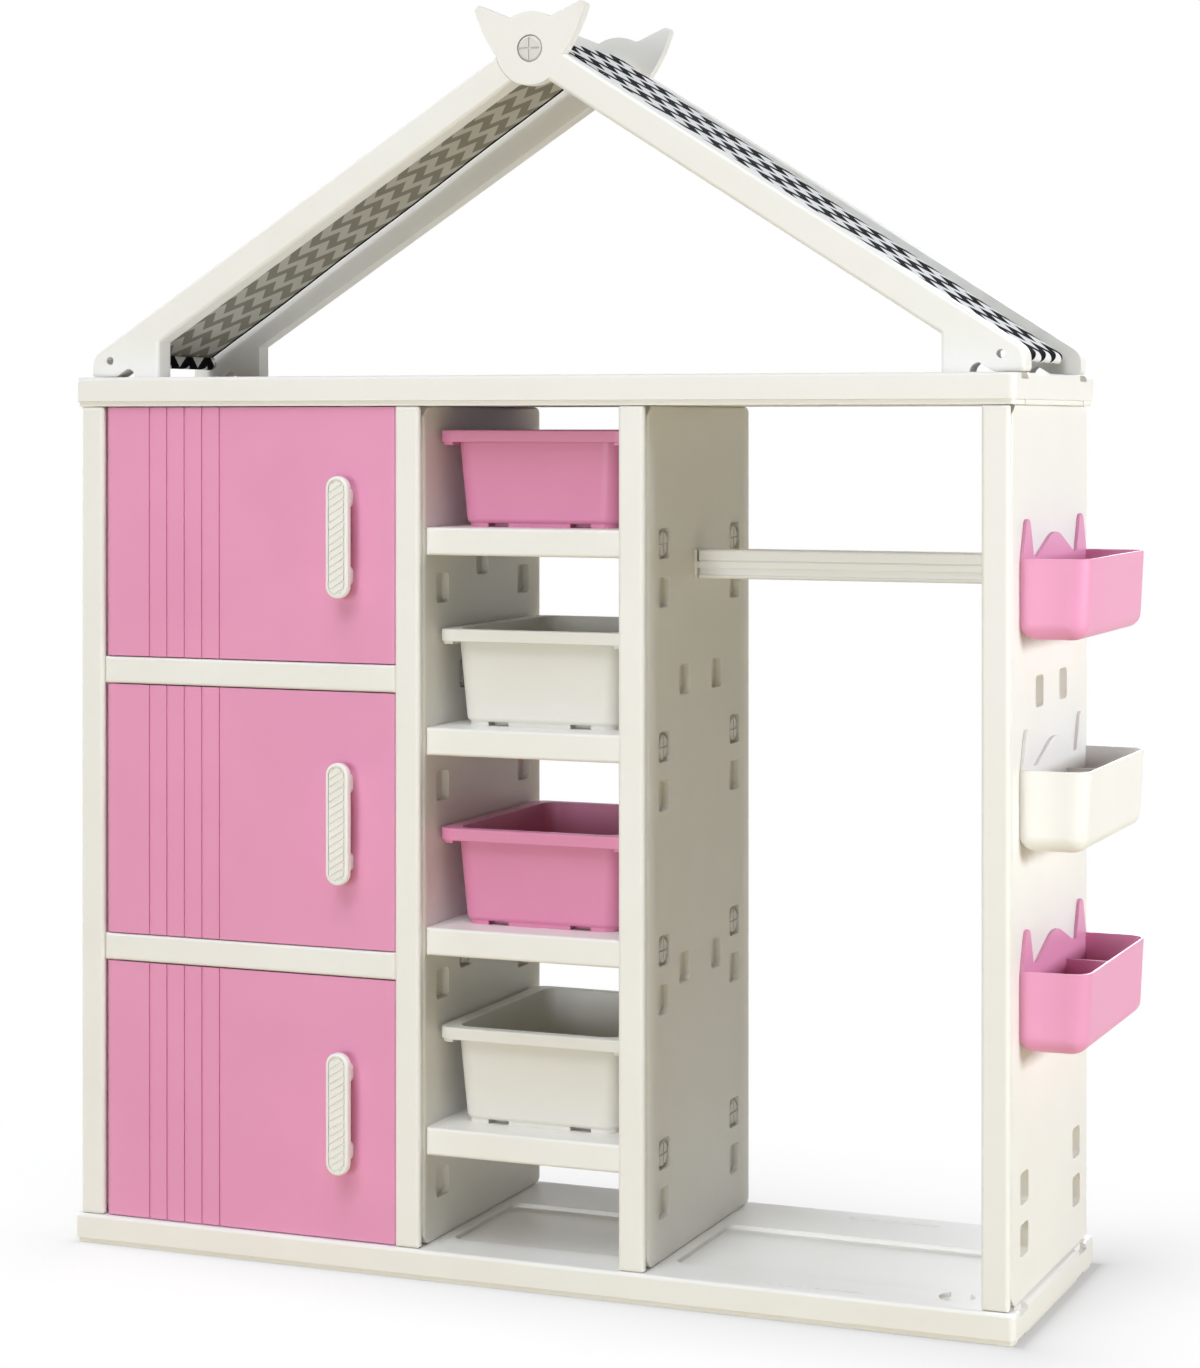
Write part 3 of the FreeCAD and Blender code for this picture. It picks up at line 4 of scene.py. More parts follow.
import bmesh
import bpy
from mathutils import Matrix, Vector


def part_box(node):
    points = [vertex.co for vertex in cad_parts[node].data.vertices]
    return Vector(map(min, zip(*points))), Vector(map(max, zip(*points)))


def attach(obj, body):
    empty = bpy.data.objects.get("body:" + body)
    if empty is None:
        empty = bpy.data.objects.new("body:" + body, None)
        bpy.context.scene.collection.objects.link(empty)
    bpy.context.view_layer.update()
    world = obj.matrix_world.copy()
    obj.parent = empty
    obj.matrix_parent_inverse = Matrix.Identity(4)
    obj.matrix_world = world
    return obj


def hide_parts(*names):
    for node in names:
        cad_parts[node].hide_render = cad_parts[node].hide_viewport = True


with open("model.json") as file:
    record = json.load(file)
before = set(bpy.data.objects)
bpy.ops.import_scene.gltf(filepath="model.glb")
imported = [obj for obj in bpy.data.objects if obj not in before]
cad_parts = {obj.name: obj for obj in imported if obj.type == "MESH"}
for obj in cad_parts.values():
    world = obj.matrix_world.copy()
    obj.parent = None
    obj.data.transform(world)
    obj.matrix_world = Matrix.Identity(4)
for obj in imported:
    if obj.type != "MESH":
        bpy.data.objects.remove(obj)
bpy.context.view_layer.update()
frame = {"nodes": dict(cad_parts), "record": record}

MM = 0.001
nodes = frame["nodes"]
scene = bpy.context.scene
scene.view_settings.view_transform = "Standard"

# The photograph's frame and the camera that was fitted to it
CAMERA_PLACE = (1.248, -2.9156, 0.8479)
CAMERA_AZIMUTH = 21.738
CAMERA_PITCH = -0.202
CAMERA_LENS = 81.639
CAMERA_SENSOR = 36.0
CAMERA_SHIFT = (-0.04004, -0.18205)


def linear(code):
    """Linear colour of an sRGB hex value."""
    shades = [int(code[i:i + 2], 16) / 255 for i in (1, 3, 5)]
    return tuple(s / 12.92 if s <= 0.04045 else ((s + 0.055) / 1.055) ** 2.4 for s in shades) + (1.0,)


def add(tree, kind, inputs=None, **settings):
    """Adds a node. Settings are its properties, and inputs are values or the sockets that feed them."""
    node = tree.nodes.new("ShaderNode" + kind)
    for name, value in settings.items():
        setattr(node, name, value)
    for key, value in (inputs or {}).items():
        if isinstance(value, bpy.types.NodeSocket):
            tree.links.new(value, node.inputs[key])
        else:
            node.inputs[key].default_value = value
    return node


def new_material(name):
    """Empty material with its tree, its shader and its output joined."""
    material = bpy.data.materials.new(name)
    material.use_nodes = True
    tree = material.node_tree
    tree.nodes.clear()
    shader = add(tree, "BsdfPrincipled")
    add(tree, "OutputMaterial", {"Surface": shader.outputs[0]})
    return material, tree, shader


def set_ramp(ramp, stops):
    """Gives a colour ramp its stops, as (place, colour)."""
    elements = ramp.color_ramp.elements
    while len(elements) < len(stops):
        elements.new(1.0)
    for element, (place, colour) in zip(elements, stops):
        element.position = place
        element.color = colour


# Marks that moulding leaves on the plastic, in millimetres. The real grain is near 0.3 mm. It is drawn
# coarser so that it shows in the picture.
FLOW_SIZE = 120.0
WAVE_SIZE = 90.0
WAVE_RISE = 4.0
GRAIN_SIZE = 1.6
GRAIN_RISE = 0.2
EDGE_ROUNDING = 0.9


def moulded_polypropylene(name, body, shade, roughness):
    """Injection-moulded polypropylene: satin, with the fine spark-eroded grain of the mould, slow flow
    marks that shift its tint a little, and edges that the mould rounds off."""
    material, tree, shader = new_material(name)
    place = add(tree, "TexCoord").outputs["Object"]
    # Flow marks change the tint and the gloss only a little.
    flow = add(tree, "TexNoise", {"Vector": place, "Scale": 1 / (FLOW_SIZE * MM), "Detail": 3.0,
                                  "Roughness": 0.55})
    tint = add(tree, "ValToRGB", {"Fac": flow.outputs["Fac"]})
    set_ramp(tint, [(0.35, linear(shade)), (0.65, linear(body))])
    gloss = add(tree, "MapRange", {"Value": flow.outputs["Fac"], "From Min": 0.3, "From Max": 0.7,
                                   "To Min": roughness - 0.04, "To Max": roughness + 0.05})
    grain = add(tree, "TexNoise", {"Vector": place, "Scale": 1 / (GRAIN_SIZE * MM), "Detail": 2.0,
                                   "Roughness": 0.6})
    # Panels of this size are never quite flat: slow waves bend the reflections.
    wave = add(tree, "TexNoise", {"Vector": place, "Scale": 1 / (WAVE_SIZE * MM), "Detail": 1.0})
    rounded = add(tree, "Bevel", {"Radius": EDGE_ROUNDING * MM}, samples=4)
    slow = add(tree, "Bump", {"Height": wave.outputs["Fac"], "Strength": 0.05, "Distance": WAVE_RISE * MM,
                              "Normal": rounded.outputs["Normal"]})
    fine = add(tree, "Bump", {"Height": grain.outputs["Fac"], "Strength": 0.06, "Distance": GRAIN_RISE * MM,
                              "Normal": slow.outputs["Normal"]})
    tree.links.new(tint.outputs["Color"], shader.inputs["Base Color"])
    tree.links.new(gloss.outputs["Result"], shader.inputs["Roughness"])
    tree.links.new(fine.outputs["Normal"], shader.inputs["Normal"])
    shader.inputs["IOR"].default_value = 1.49
    shader.inputs["Specular IOR Level"].default_value = 0.4
    return material


# Marks on the rods, in millimetres: drawing lines, and the zinc's spangles
LINE_WIDTH = 1.0
LINE_LENGTH = 30.0
LINE_RISE = 0.1
SPANGLE_SIZE = 2.5


def zinc_plated_steel():
    """Drawn steel with bright zinc: fine lines along the rod and small dull spangles."""
    material, tree, shader = new_material("zinc_plated_steel")
    place = add(tree, "TexCoord").outputs["Object"]
    stretch = (1 / (LINE_WIDTH * MM), 1 / (LINE_LENGTH * MM), 1 / (LINE_WIDTH * MM))
    drawn = add(tree, "Mapping", {"Vector": place, "Scale": stretch})
    lines = add(tree, "TexNoise", {"Vector": drawn.outputs["Vector"], "Scale": 1.0, "Detail": 3.0})
    spangle = add(tree, "TexVoronoi", {"Vector": place, "Scale": 1 / (SPANGLE_SIZE * MM)})
    tone = add(tree, "ValToRGB", {"Fac": spangle.outputs["Distance"]})
    set_ramp(tone, [(0.0, linear("#B9BBBC")), (1.0, linear("#CFD0CE"))])
    gloss = add(tree, "MapRange", {"Value": lines.outputs["Fac"], "To Min": 0.28, "To Max": 0.46})
    bump = add(tree, "Bump", {"Height": lines.outputs["Fac"], "Strength": 0.15,
                              "Distance": LINE_RISE * MM})
    tree.links.new(tone.outputs["Color"], shader.inputs["Base Color"])
    tree.links.new(gloss.outputs["Result"], shader.inputs["Roughness"])
    tree.links.new(bump.outputs["Normal"], shader.inputs["Normal"])
    shader.inputs["Metallic"].default_value = 1.0
    return material


# The roof cloth's print, in millimetres: zigzag stripes from front to back, one after the other along
# the strip. Threads are about 0.4 mm apart. They are drawn further apart so that the weave shows.
STRIPE_PITCH = 30.8
STRIPE_PLACE = 4.3
ZIGZAG_PITCH = 38.3
ZIGZAG_PLACE = 4.2
ZIGZAG_SLOPE = 0.92
INK_CREEP = 0.9
INK_CREEP_SIZE = 3.0
THREAD_PITCH = 1.7
WEAVE_RISE = 0.25
STITCH_PITCH = 3.4
STITCH_WIDTH = 0.9
STITCH_LENGTH_SHARE = 0.68
STITCH_RISE_SHARE = 2.5


def printed_cotton(name, light, dark, seam):
    """Plain-woven cotton canvas with a black zigzag print, which shows through paler on the reverse.
    The UV map gives each point's place on the flat cloth in metres: across in U, along in V, both from
    the middle. A seam of white thread runs along the strip at a distance from its middle."""
    material, tree, shader = new_material(name)
    flat = add(tree, "SeparateXYZ", {"Vector": add(tree, "UVMap", uv_map="flat_cloth").outputs["UV"]})
    across = flat.outputs["X"]
    along = flat.outputs["Y"]
    turned = add(tree, "Math", {0: across, 1: ZIGZAG_PLACE * MM}, operation="ADD")
    zigzag = add(tree, "Math", {0: turned.outputs[0], 1: ZIGZAG_PITCH / 2 * MM}, operation="PINGPONG")
    shifted = add(tree, "Math", {0: zigzag.outputs[0], 1: -ZIGZAG_SLOPE, 2: along},
                  operation="MULTIPLY_ADD")
    # Ink creeps along the threads, so the stripes' edges are a little uneven.
    creep = add(tree, "TexNoise", {"Vector": add(tree, "TexCoord").outputs["Object"],
                                   "Scale": 1 / (INK_CREEP_SIZE * MM), "Detail": 2.0})
    uneven = add(tree, "Math", {0: creep.outputs["Fac"], 1: INK_CREEP * MM, 2: shifted.outputs[0]},
                 operation="MULTIPLY_ADD")
    placed = add(tree, "Math", {0: uneven.outputs[0], 1: STRIPE_PLACE * MM}, operation="ADD")
    repeat = add(tree, "Math", {0: placed.outputs[0], 1: STRIPE_PITCH / 2 * MM}, operation="PINGPONG")
    share = add(tree, "Math", {0: repeat.outputs[0], 1: STRIPE_PITCH / 2 * MM}, operation="DIVIDE")
    ink = add(tree, "ValToRGB", {"Fac": share.outputs[0]})
    set_ramp(ink, [(0.47, linear(light)), (0.53, linear(dark))])
    threads = []
    for socket in (across, along):
        turn = add(tree, "Math", {0: socket, 1: 2 * math.pi / (THREAD_PITCH * MM)}, operation="MULTIPLY")
        threads.append(add(tree, "Math", {0: turn.outputs[0]}, operation="SINE").outputs[0])
    weave = add(tree, "Math", {0: threads[0], 1: threads[1]}, operation="MULTIPLY")
    tone = add(tree, "MapRange", {"Value": weave.outputs[0], "From Min": -1.0,
                                  "To Min": 0.9, "To Max": 1.0})
    dyed = add(tree, "VectorMath", {0: ink.outputs["Color"], "Scale": tone.outputs["Result"]},
               operation="SCALE")
    # Each stitch of the seam is a short dash of thread that lies on the weave.
    outward = add(tree, "Math", {0: across}, operation="ABSOLUTE")
    on_seam = add(tree, "Math", {0: outward.outputs[0], 1: seam * MM, 2: STITCH_WIDTH / 2 * MM},
                  operation="COMPARE")
    dash = add(tree, "Math", {0: along, 1: STITCH_PITCH / 2 * MM}, operation="PINGPONG")
    sewn = add(tree, "Math", {0: dash.outputs[0], 1: STITCH_PITCH / 2 * STITCH_LENGTH_SHARE * MM},
               operation="LESS_THAN")
    stitch = add(tree, "Math", {0: on_seam.outputs[0], 1: sewn.outputs[0]}, operation="MULTIPLY")
    surface = add(tree, "MixRGB", {0: stitch.outputs[0], 1: dyed.outputs["Vector"], 2: linear(light)})
    height = add(tree, "Math", {0: stitch.outputs[0], 1: STITCH_RISE_SHARE, 2: weave.outputs[0]},
                 operation="MULTIPLY_ADD")
    bump = add(tree, "Bump", {"Height": height.outputs[0], "Strength": 0.35, "Distance": WEAVE_RISE * MM})
    tree.links.new(surface.outputs["Color"], shader.inputs["Base Color"])
    tree.links.new(bump.outputs["Normal"], shader.inputs["Normal"])
    shader.inputs["Roughness"].default_value = 0.88
    shader.inputs["Specular IOR Level"].default_value = 0.03
    shader.inputs["Sheen Weight"].default_value = 0.03
    shader.inputs["Sheen Roughness"].default_value = 0.5
    return material


# The roof cloth's cut, in millimetres: a strip nearly as wide as its solid, with both long edges turned
# under and sewn. It goes a little more than half a turn round each eave rod.
CLOTH_THICKNESS = 0.7
CLOTH_OFF_ROD = 1.5
CLOTH_SAG = 0.4
CLOTH_STEP = 6.0
CLOTH_EDGE_GAP = 0.5
SLEEVE_LAP = 8.5
SLEEVE_TURN_SHARE = 1.12
SLEEVE_STEPS = 18
RIDGE_STEPS = 6
HEM_WIDTH = 3.2
HEM_DROP = 0.9
SEAM_SETBACK = 1.8
RIPPLE_RISE = 0.35
RIPPLE_LENGTH = 31.0
RIPPLE_LAG = 0.9
RIPPLE_EDGE_POWER = 4
cloth_low, cloth_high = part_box("roof_cloth")
CLOTH_HALF = min(-cloth_low.y, cloth_high.y) / MM - CLOTH_EDGE_GAP
SEAM_PLACE = CLOTH_HALF - HEM_WIDTH + SEAM_SETBACK

white_plastic = moulded_polypropylene("white_polypropylene", "#F2F0EB", "#F0EDE7", 0.42)
pink_plastic = moulded_polypropylene("pink_polypropylene", "#E99CC0", "#E699BD", 0.40)
# Darker copies of the pink and the white plastic for the bins: painted shade.
bin_pink_painted_shade = moulded_polypropylene("bin_pink_polypropylene_painted_shade", "#DE8DAF", "#DB8AAC", 0.40)
bin_white_painted_shade = moulded_polypropylene("bin_white_polypropylene_painted_shade", "#E6E3DB", "#E3E0D7", 0.42)
screw_plastic = moulded_polypropylene("grey_nylon_screw", "#DEDCD7", "#D8D6D0", 0.36)
steel = zinc_plated_steel()
print_side = printed_cotton("printed_cotton", "#F6F5F2", "#121115", SEAM_PLACE)
reverse_side = printed_cotton("printed_cotton_reverse", "#CFCBC0", "#989386", SEAM_PLACE)
# Nearly black cloth for the turned strips on the underside, which show as a dark line along the edges.
dark_hem_cloth = printed_cotton("dark_hem_cotton", "#1C1B1E", "#121115", SEAM_PLACE)

finishes = {
    "white_plastic": white_plastic,
    "pink_plastic": pink_plastic,
    "screw_plastic": screw_plastic,
    "steel": steel,
    "striped_cloth": print_side,
}
for entry in frame["record"]["subparts"]:
    piece = nodes[entry["node"]]
    finish = finishes[entry["material_slot"]]
    # The bins are the same plastic as the doors and the panels. They are drawn a shade deeper as painted
    # shade for their recessed place in the bay.
    if entry["node"] in ("bin_1", "bin_2", "bin_3", "bin_4"):
        finish = bin_pink_painted_shade if finish is pink_plastic else bin_white_painted_shade
    piece.data.materials.clear()
    piece.data.materials.append(finish)


def new_piece(name, mesh, materials, body):
    """Links a finished mesh as a piece that rides on a body."""
    piece = bpy.data.objects.new(name, mesh)
    scene.collection.objects.link(piece)
    for material in materials:
        mesh.materials.append(material)
    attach(piece, body)
    return piece


# Roof cloth: one strip, sleeved round both eave rods and drawn over the ridge rod
def rod_line(name):
    """Centre of a rod that runs front to back, in X and Z, and its radius, in millimetres."""
    low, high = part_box(name)
    centre = ((low.x + high.x) / 2 / MM, (low.z + high.z) / 2 / MM)
    return centre, (high.x - low.x) / 2 / MM


def arc_points(centre, radius, start, end, count):
    """Points on an arc about a centre, from one angle to another in radians."""
    turns = [start + (end - start) * i / count for i in range(count + 1)]
    return [(centre[0] + radius * math.cos(t), centre[1] + radius * math.sin(t)) for t in turns]


def straight_points(start, end, step, sag):
    """Points on a run between two points, both left out, which sags in the middle."""
    length = math.dist(start, end)
    count = max(2, round(length / step))
    points = []
    for i in range(1, count):
        share = i / count
        drop = sag * 4 * share * (1 - share)
        x = start[0] + (end[0] - start[0]) * share
        z = start[1] + (end[1] - start[1]) * share - drop
        points.append((x, z))
    return points


def cloth_profile():
    """The strip's line in X and Z from one hem under the left slope to the other under the right one."""
    eave, eave_radius = rod_line("left_eave_rod")
    ridge, ridge_radius = rod_line("ridge_rod")
    eave_radius += CLOTH_OFF_ROD
    ridge_radius += CLOTH_OFF_ROD
    run = math.dist(eave, ridge)
    pitch = math.atan2(ridge[1] - eave[1], ridge[0] - eave[0])
    lean = pitch + math.asin((ridge_radius - eave_radius) / run)
    upward = (math.cos(lean), math.sin(lean))
    outward = lean + math.pi / 2
    normal = (math.cos(outward), math.sin(outward))
    top_start = (eave[0] + normal[0] * eave_radius, eave[1] + normal[1] * eave_radius)
    top_end = (ridge[0] + normal[0] * ridge_radius, ridge[1] + normal[1] * ridge_radius)
    lap_gap = HEM_DROP + 2 * CLOTH_THICKNESS
    lap = (top_start[0] + upward[0] * SLEEVE_LAP - normal[0] * lap_gap,
           top_start[1] + upward[1] * SLEEVE_LAP - normal[1] * lap_gap)
    sleeve_start = outward + math.pi * SLEEVE_TURN_SHARE
    around = arc_points(eave, eave_radius, sleeve_start, outward, SLEEVE_STEPS)
    left = [lap] + straight_points(lap, around[0], CLOTH_STEP, 0) + around
    left += straight_points(top_start, top_end, CLOTH_STEP, CLOTH_SAG)
    left += arc_points(ridge, ridge_radius, outward, math.pi / 2, RIDGE_STEPS)
    right = [(2 * ridge[0] - x, z) for x, z in reversed(left[:-1])]
    return left + right


def cloth_section():
    """The strip's line across, as (Y, drop): from one hem's inner edge round its fold to the other's."""
    turn = HEM_DROP / 2
    fold_y = CLOTH_HALF - turn
    hem = [(-CLOTH_HALF + HEM_WIDTH, HEM_DROP), (-fold_y, HEM_DROP)]
    hem += [(-CLOTH_HALF, turn), (-fold_y, 0.0)]
    count = round(2 * fold_y / CLOTH_STEP)
    middle = [(-fold_y + 2 * fold_y * i / count, 0.0) for i in range(1, count)]
    return hem + middle + [(-y, drop) for y, drop in reversed(hem)]


def run_lengths(points):
    """Distance of each point along its line, from the line's middle."""
    lengths = [0.0]
    for a, b in zip(points, points[1:]):
        lengths.append(lengths[-1] + math.dist(a, b))
    return [length - lengths[-1] / 2 for length in lengths]


def make_roof_cloth():
    """Stretched strip with a turned hem along each long edge. Returns the piece and its flat size."""
    profile = cloth_profile()
    section = cloth_section()
    lengths = run_lengths(profile)
    widths = run_lengths(section)
    mesh = bpy.data.meshes.new("roof_cloth_strip")
    shape = bmesh.new()
    flat = shape.loops.layers.uv.new("flat_cloth")
    rows = []
    for index, (x, z) in enumerate(profile):
        ahead = profile[min(index + 1, len(profile) - 1)]
        behind = profile[max(index - 1, 0)]
        along = Vector((ahead[0] - behind[0], ahead[1] - behind[1])).normalized()
        out = (-along.y, along.x)
        row = []
        for y, drop in section:
            edge = (abs(y) / CLOTH_HALF) ** RIPPLE_EDGE_POWER
            turn = lengths[index] / RIPPLE_LENGTH + RIPPLE_LAG * math.copysign(1, y)
            ripple = RIPPLE_RISE * math.sin(turn) * edge
            rise = ripple - drop
            row.append(shape.verts.new(((x + out[0] * rise) * MM, y * MM, (z + out[1] * rise) * MM)))
        rows.append(row)
    for i in range(len(rows) - 1):
        for j in range(len(section) - 1):
            corners = ((i, j), (i + 1, j), (i + 1, j + 1), (i, j + 1))
            face = shape.faces.new([rows[a][b] for a, b in corners])
            face.smooth = True
            # The turned strips on the underside are drawn nearly black.
            if j < 2 or j > len(section) - 4:
                face.material_index = 2
            for loop, (a, b) in zip(face.loops, corners):
                loop[flat].uv = (widths[b] * MM, lengths[a] * MM)
    shape.normal_update()
    shape.to_mesh(mesh)
    shape.free()
    sides = (print_side, reverse_side, dark_hem_cloth, dark_hem_cloth)
    cloth = new_piece("roof_cloth_strip", mesh, sides, "carcass")
    body = cloth.modifiers.new("thickness", "SOLIDIFY")
    body.thickness = CLOTH_THICKNESS * MM
    body.offset = 0.0
    body.material_offset = 1
    body.material_offset_rim = 0
    return cloth, (2 * widths[-1] * MM, 2 * lengths[-1] * MM)


roof_cloth, flat_size = make_roof_cloth()
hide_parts("roof_cloth")

# Grip ribs on the sunken faces of the door handles, in millimetres: wide and close together
RIB_PITCH = 7.46
RIB_ANGLE = 31.0
RIB_GAP = 1.5
RIB_EDGE = 0.4
RIB_RISE = 1.3
RIB_MARGIN = 4.3
FACE_DEPTH = 1.6
RIB_SINK = 0.15
RIB_STEPS = 28


def make_grip_ribs(level):
    """Slanted ribs across a handle's face, each a flat bar with eased edges that ends inside the rim."""
    low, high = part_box("door_handle_" + level)
    middle = (low + high) / 2 / MM
    half_width = (high.x - low.x) / 2 / MM - RIB_MARGIN
    straight = (high.z - low.z) / 2 / MM - RIB_MARGIN - half_width
    foot_y = low.y / MM + FACE_DEPTH + RIB_SINK
    top_y = foot_y - RIB_SINK - RIB_RISE
    slope = math.tan(math.radians(RIB_ANGLE))
    half_rib = (RIB_PITCH - RIB_GAP) / 2
    count = int((straight + 2 * half_width) / RIB_PITCH)
    shape = bmesh.new()
    for index in range(-count, count + 1):
        cuts = []
        for i in range(RIB_STEPS + 1):
            x = half_width * (2 * i / RIB_STEPS - 1)
            limit = straight + math.sqrt(half_width ** 2 - x ** 2)
            start = max(index * RIB_PITCH + x * slope - half_rib, -limit)
            end = min(index * RIB_PITCH + x * slope + half_rib, limit)
            if end - start > 3 * RIB_EDGE:
                ends = ((start, foot_y), (start + RIB_EDGE, top_y), (end - RIB_EDGE, top_y), (end, foot_y))
                cuts.append([Vector((middle.x + x, y, middle.z + z)) * MM for z, y in ends])
        if len(cuts) < 3:
            continue
        rings = [[shape.verts.new(point) for point in cut] for cut in cuts]
        for a, b in zip(rings, rings[1:]):
            for i in range(4):
                j = (i + 1) % 4
                shape.faces.new((a[i], a[j], b[j], b[i]))
        shape.faces.new(rings[0])
        shape.faces.new(list(reversed(rings[-1])))
    bmesh.ops.recalc_face_normals(shape, faces=shape.faces)
    mesh = bpy.data.meshes.new("grip_ribs_" + level)
    shape.to_mesh(mesh)
    shape.free()
    return new_piece("grip_ribs_" + level, mesh, (white_plastic,), level + "_door")


for level in ("upper", "middle", "lower"):
    make_grip_ribs(level)


# Floor, light and camera. The floor's shadow is a wide soft one, stronger on the right, and a narrow one
# at the base's edge. Reaches and shifts are in millimetres, the fade is in metres from the base.
LAMP_TINT = (0.89, 0.935, 1.0)
FLOOR_HALF = 20.0
FLOOR_DROP = 0.3
GLOW = 0.84
SHADOW_SHIFTS = (5.0, 4.0)
WIDE_SHADOW_LEFT = -0.1
WIDE_SHADOW_RIGHT = -0.23
WIDE_SHADOW_REACH = 90.0
EDGE_SHADOW = -0.2
EDGE_SHADOW_REACH = 6.0
FADE_START = 0.12
FADE_END = 0.4


def seen_directly(tree):
    """Socket that is 1 where a surface is seen by the eye, in a reflection or through something."""
    path = add(tree, "LightPath")
    mirrored = add(tree, "Math", {0: path.outputs["Is Camera Ray"], 1: path.outputs["Is Glossy Ray"]},
                   operation="MAXIMUM")
    through = {0: mirrored.outputs[0], 1: path.outputs["Is Transmission Ray"]}
    return add(tree, "Math", through, operation="MAXIMUM").outputs[0]


def studio_floor():
    """Pale floor that the eye sees nearly white, and that keeps the rack's shadow."""
    shape = bmesh.new()
    bmesh.ops.create_grid(shape, x_segments=2, y_segments=2, size=FLOOR_HALF)
    mesh = bpy.data.meshes.new("studio_floor")
    shape.to_mesh(mesh)
    shape.free()
    floor = bpy.data.objects.new("studio_floor", mesh)
    scene.collection.objects.link(floor)
    floor.location.z = -FLOOR_DROP * MM
    material = bpy.data.materials.new("pale_floor")
    material.use_nodes = True
    tree = material.node_tree
    tree.nodes.clear()
    shown = seen_directly(tree)
    paint = add(tree, "BsdfDiffuse", {"Color": linear("#D2C294")})
    # Distance from the base's outline. A soft contact shadow dies away with it, and further off the
    # floor fades into the white surroundings, so that no edge shows.
    low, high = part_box("base_board")
    spot = add(tree, "SeparateXYZ", {"Vector": add(tree, "TexCoord").outputs["Object"]})
    sides = []
    for axis, shift in enumerate(SHADOW_SHIFTS):
        middle = (low[axis] + high[axis]) / 2 + shift * MM
        off = add(tree, "Math", {0: spot.outputs[axis], 1: middle}, operation="SUBTRACT")
        out = add(tree, "Math", {0: off.outputs[0]}, operation="ABSOLUTE")
        past = add(tree, "Math", {0: out.outputs[0], 1: (high[axis] - low[axis]) / 2}, operation="SUBTRACT")
        sides.append(add(tree, "Math", {0: past.outputs[0], 1: 0.0}, operation="MAXIMUM").outputs[0])
    gap = add(tree, "CombineXYZ", {0: sides[0], 1: sides[1]})
    apart = add(tree, "VectorMath", {0: gap.outputs[0]}, operation="LENGTH").outputs["Value"]
    lean = add(tree, "MapRange", {"Value": spot.outputs[0], "From Min": low.x, "From Max": high.x,
                                  "To Min": WIDE_SHADOW_LEFT, "To Max": WIDE_SHADOW_RIGHT})
    shadows = ((lean.outputs["Result"], WIDE_SHADOW_REACH), (EDGE_SHADOW, EDGE_SHADOW_REACH))
    strength = GLOW
    for share, reach in shadows:
        fall = add(tree, "Math", {0: apart, 1: -1 / (reach * MM)}, operation="MULTIPLY")
        near = add(tree, "Math", {0: fall.outputs[0]}, operation="EXPONENT")
        shaded = add(tree, "Math", {0: near.outputs[0], 1: share, 2: strength}, operation="MULTIPLY_ADD")
        strength = shaded.outputs[0]
    dim = add(tree, "BsdfDiffuse", {"Color": linear("#7C7B7A")})
    glow = add(tree, "Emission", {"Color": linear("#FFFFFF"), "Strength": strength})
    lifted = add(tree, "AddShader", {0: dim.outputs[0], 1: glow.outputs[0]})
    fade = add(tree, "MapRange", {"Value": apart, "From Min": FADE_START, "From Max": FADE_END})
    white = add(tree, "Emission", {"Color": linear("#FFFFFF"), "Strength": 1.0})
    faded = {0: fade.outputs["Result"], 1: lifted.outputs[0], 2: white.outputs[0]}
    open_floor = add(tree, "MixShader", faded)
    mix = add(tree, "MixShader", {0: shown, 1: paint.outputs[0], 2: open_floor.outputs[0]})
    add(tree, "OutputMaterial", {"Surface": mix.outputs[0]})
    mesh.materials.append(material)


def studio_world(fill):
    """Even white surroundings: full white to the eye, a weaker fill for the light."""
    world = bpy.data.worlds.new("studio")
    scene.world = world
    world.use_nodes = True
    tree = world.node_tree
    tree.nodes.clear()
    shown = seen_directly(tree)
    bright = add(tree, "Background", {"Color": linear("#FFFFFF"), "Strength": 1.0})
    weak = add(tree, "Background", {"Color": linear("#FFF8E8"), "Strength": fill})
    mix = add(tree, "MixShader", {0: shown, 1: weak.outputs[0], 2: bright.outputs[0]})
    add(tree, "OutputWorld", {"Surface": mix.outputs[0]})


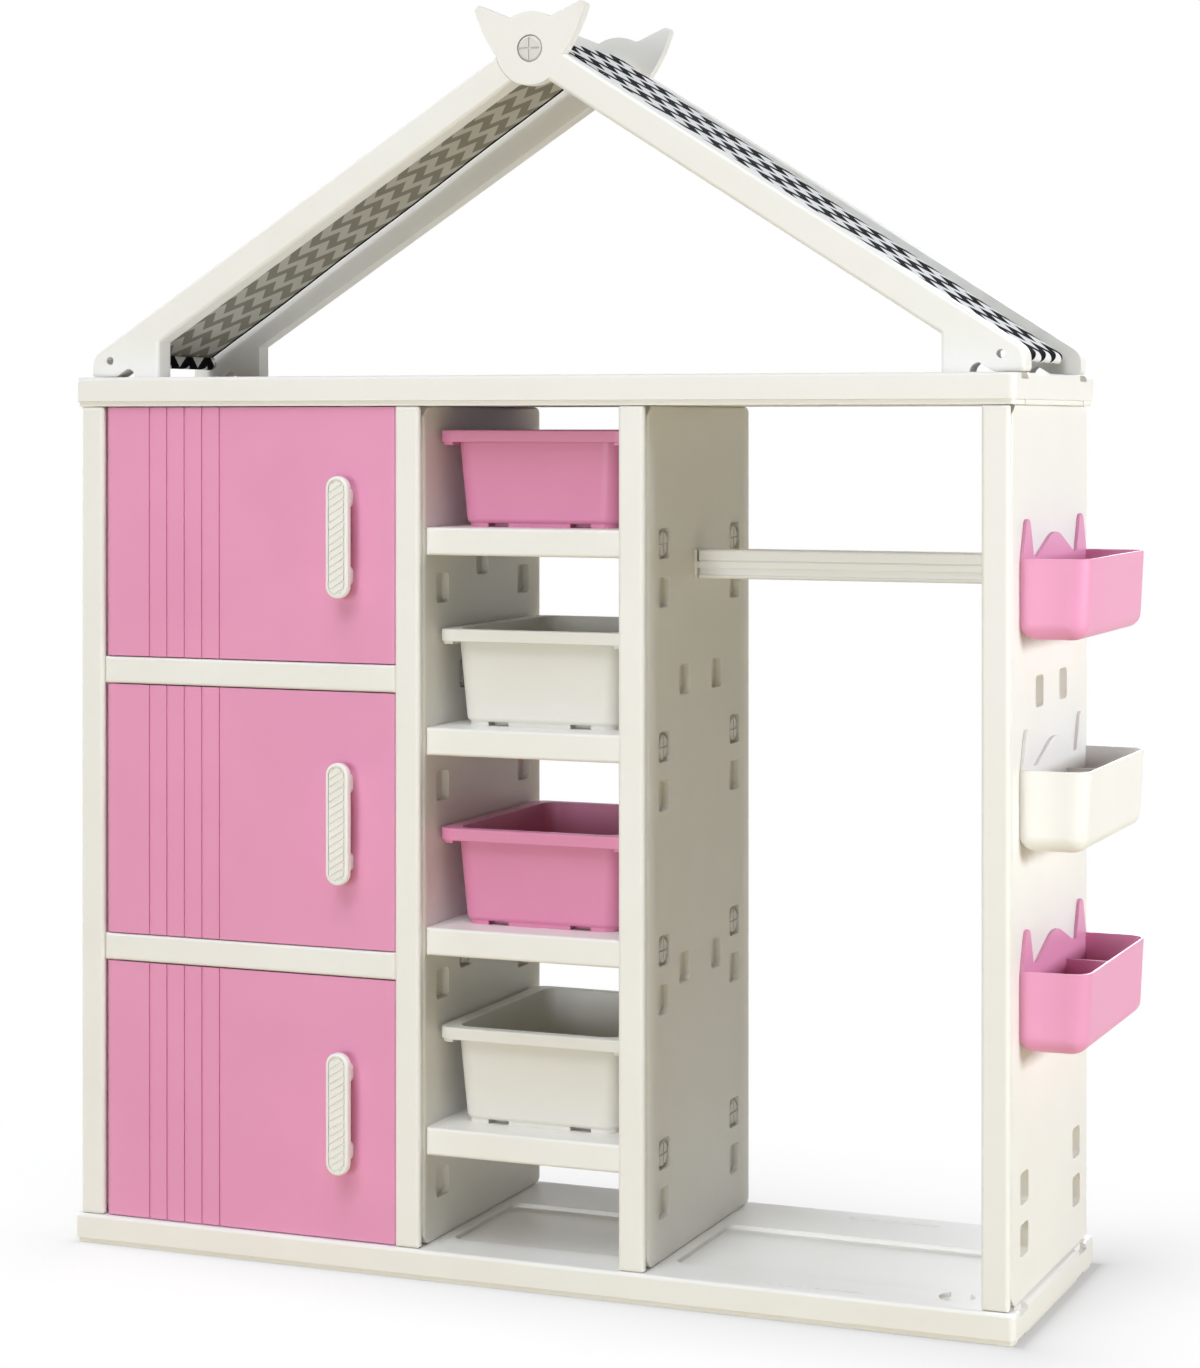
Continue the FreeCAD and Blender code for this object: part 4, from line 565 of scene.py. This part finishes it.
def soft_lamp(name, place, target, size, power):
    """Soft box or card at a place, turned to a target, with its width and height."""
    lamp = bpy.data.lights.new(name, "AREA")
    lamp.shape = "RECTANGLE"
    lamp.size, lamp.size_y = size
    lamp.color = LAMP_TINT
    lamp.energy = power
    box = bpy.data.objects.new(name, lamp)
    scene.collection.objects.link(box)
    box.visible_camera = False
    box.location = place
    box.rotation_euler = (Vector(target) - Vector(place)).to_track_quat("-Z", "Y").to_euler()


def photograph_camera():
    """Camera at the photograph's place, for its upright 1200 by 1368 frame."""
    lens = bpy.data.cameras.new("photograph_camera")
    lens.sensor_fit = "AUTO"
    lens.sensor_width = CAMERA_SENSOR
    lens.lens = CAMERA_LENS
    lens.shift_x, lens.shift_y = CAMERA_SHIFT
    camera = bpy.data.objects.new("photograph_camera", lens)
    scene.collection.objects.link(camera)
    azimuth = math.radians(CAMERA_AZIMUTH)
    pitch = math.radians(CAMERA_PITCH)
    level = math.cos(pitch)
    ahead = Vector((-math.sin(azimuth) * level, math.cos(azimuth) * level, math.sin(pitch)))
    camera.location = CAMERA_PLACE
    camera.rotation_euler = ahead.to_track_quat("-Z", "Y").to_euler()
    scene.camera = camera


studio_floor()
studio_world(0.02)
soft_lamp("right_soft_box", (3.4, -0.05, 1.1), (0.4, 0.0, 0.7), (0.8, 0.8), 74.0)
soft_lamp("high_front_soft_box", (-1.0, -5.8, 6.4), (0.0, 0.0, 0.6), (3.0, 3.0), 150.0)
soft_lamp("far_front_soft_box", (-0.9, -8.5, 1.3), (0.0, 0.0, 0.7), (1.8, 1.8), 182.0)
soft_lamp("low_front_soft_box", (0.5, -3.0, 0.3), (-0.1, 0.0, 0.9), (1.0, 1.0), 18.0)
soft_lamp("top_soft_box", (0.2, -3.0, 7.0), (0.0, -0.1, 0.5), (4.0, 4.0), 215.0)
soft_lamp("left_soft_box", (-4.5, 0.6, 1.6), (-0.4, 0.0, 0.7), (1.6, 1.6), 95.0)
soft_lamp("far_back_soft_box", (-0.5, 8.5, 2.0), (0.0, 0.0, 0.7), (1.8, 1.8), 240.0)
soft_lamp("under_roof_card", (0.0, 0.0, 0.9), (0.0, 0.0, 1.5), (0.86, 0.15), 0.17)
photograph_camera()
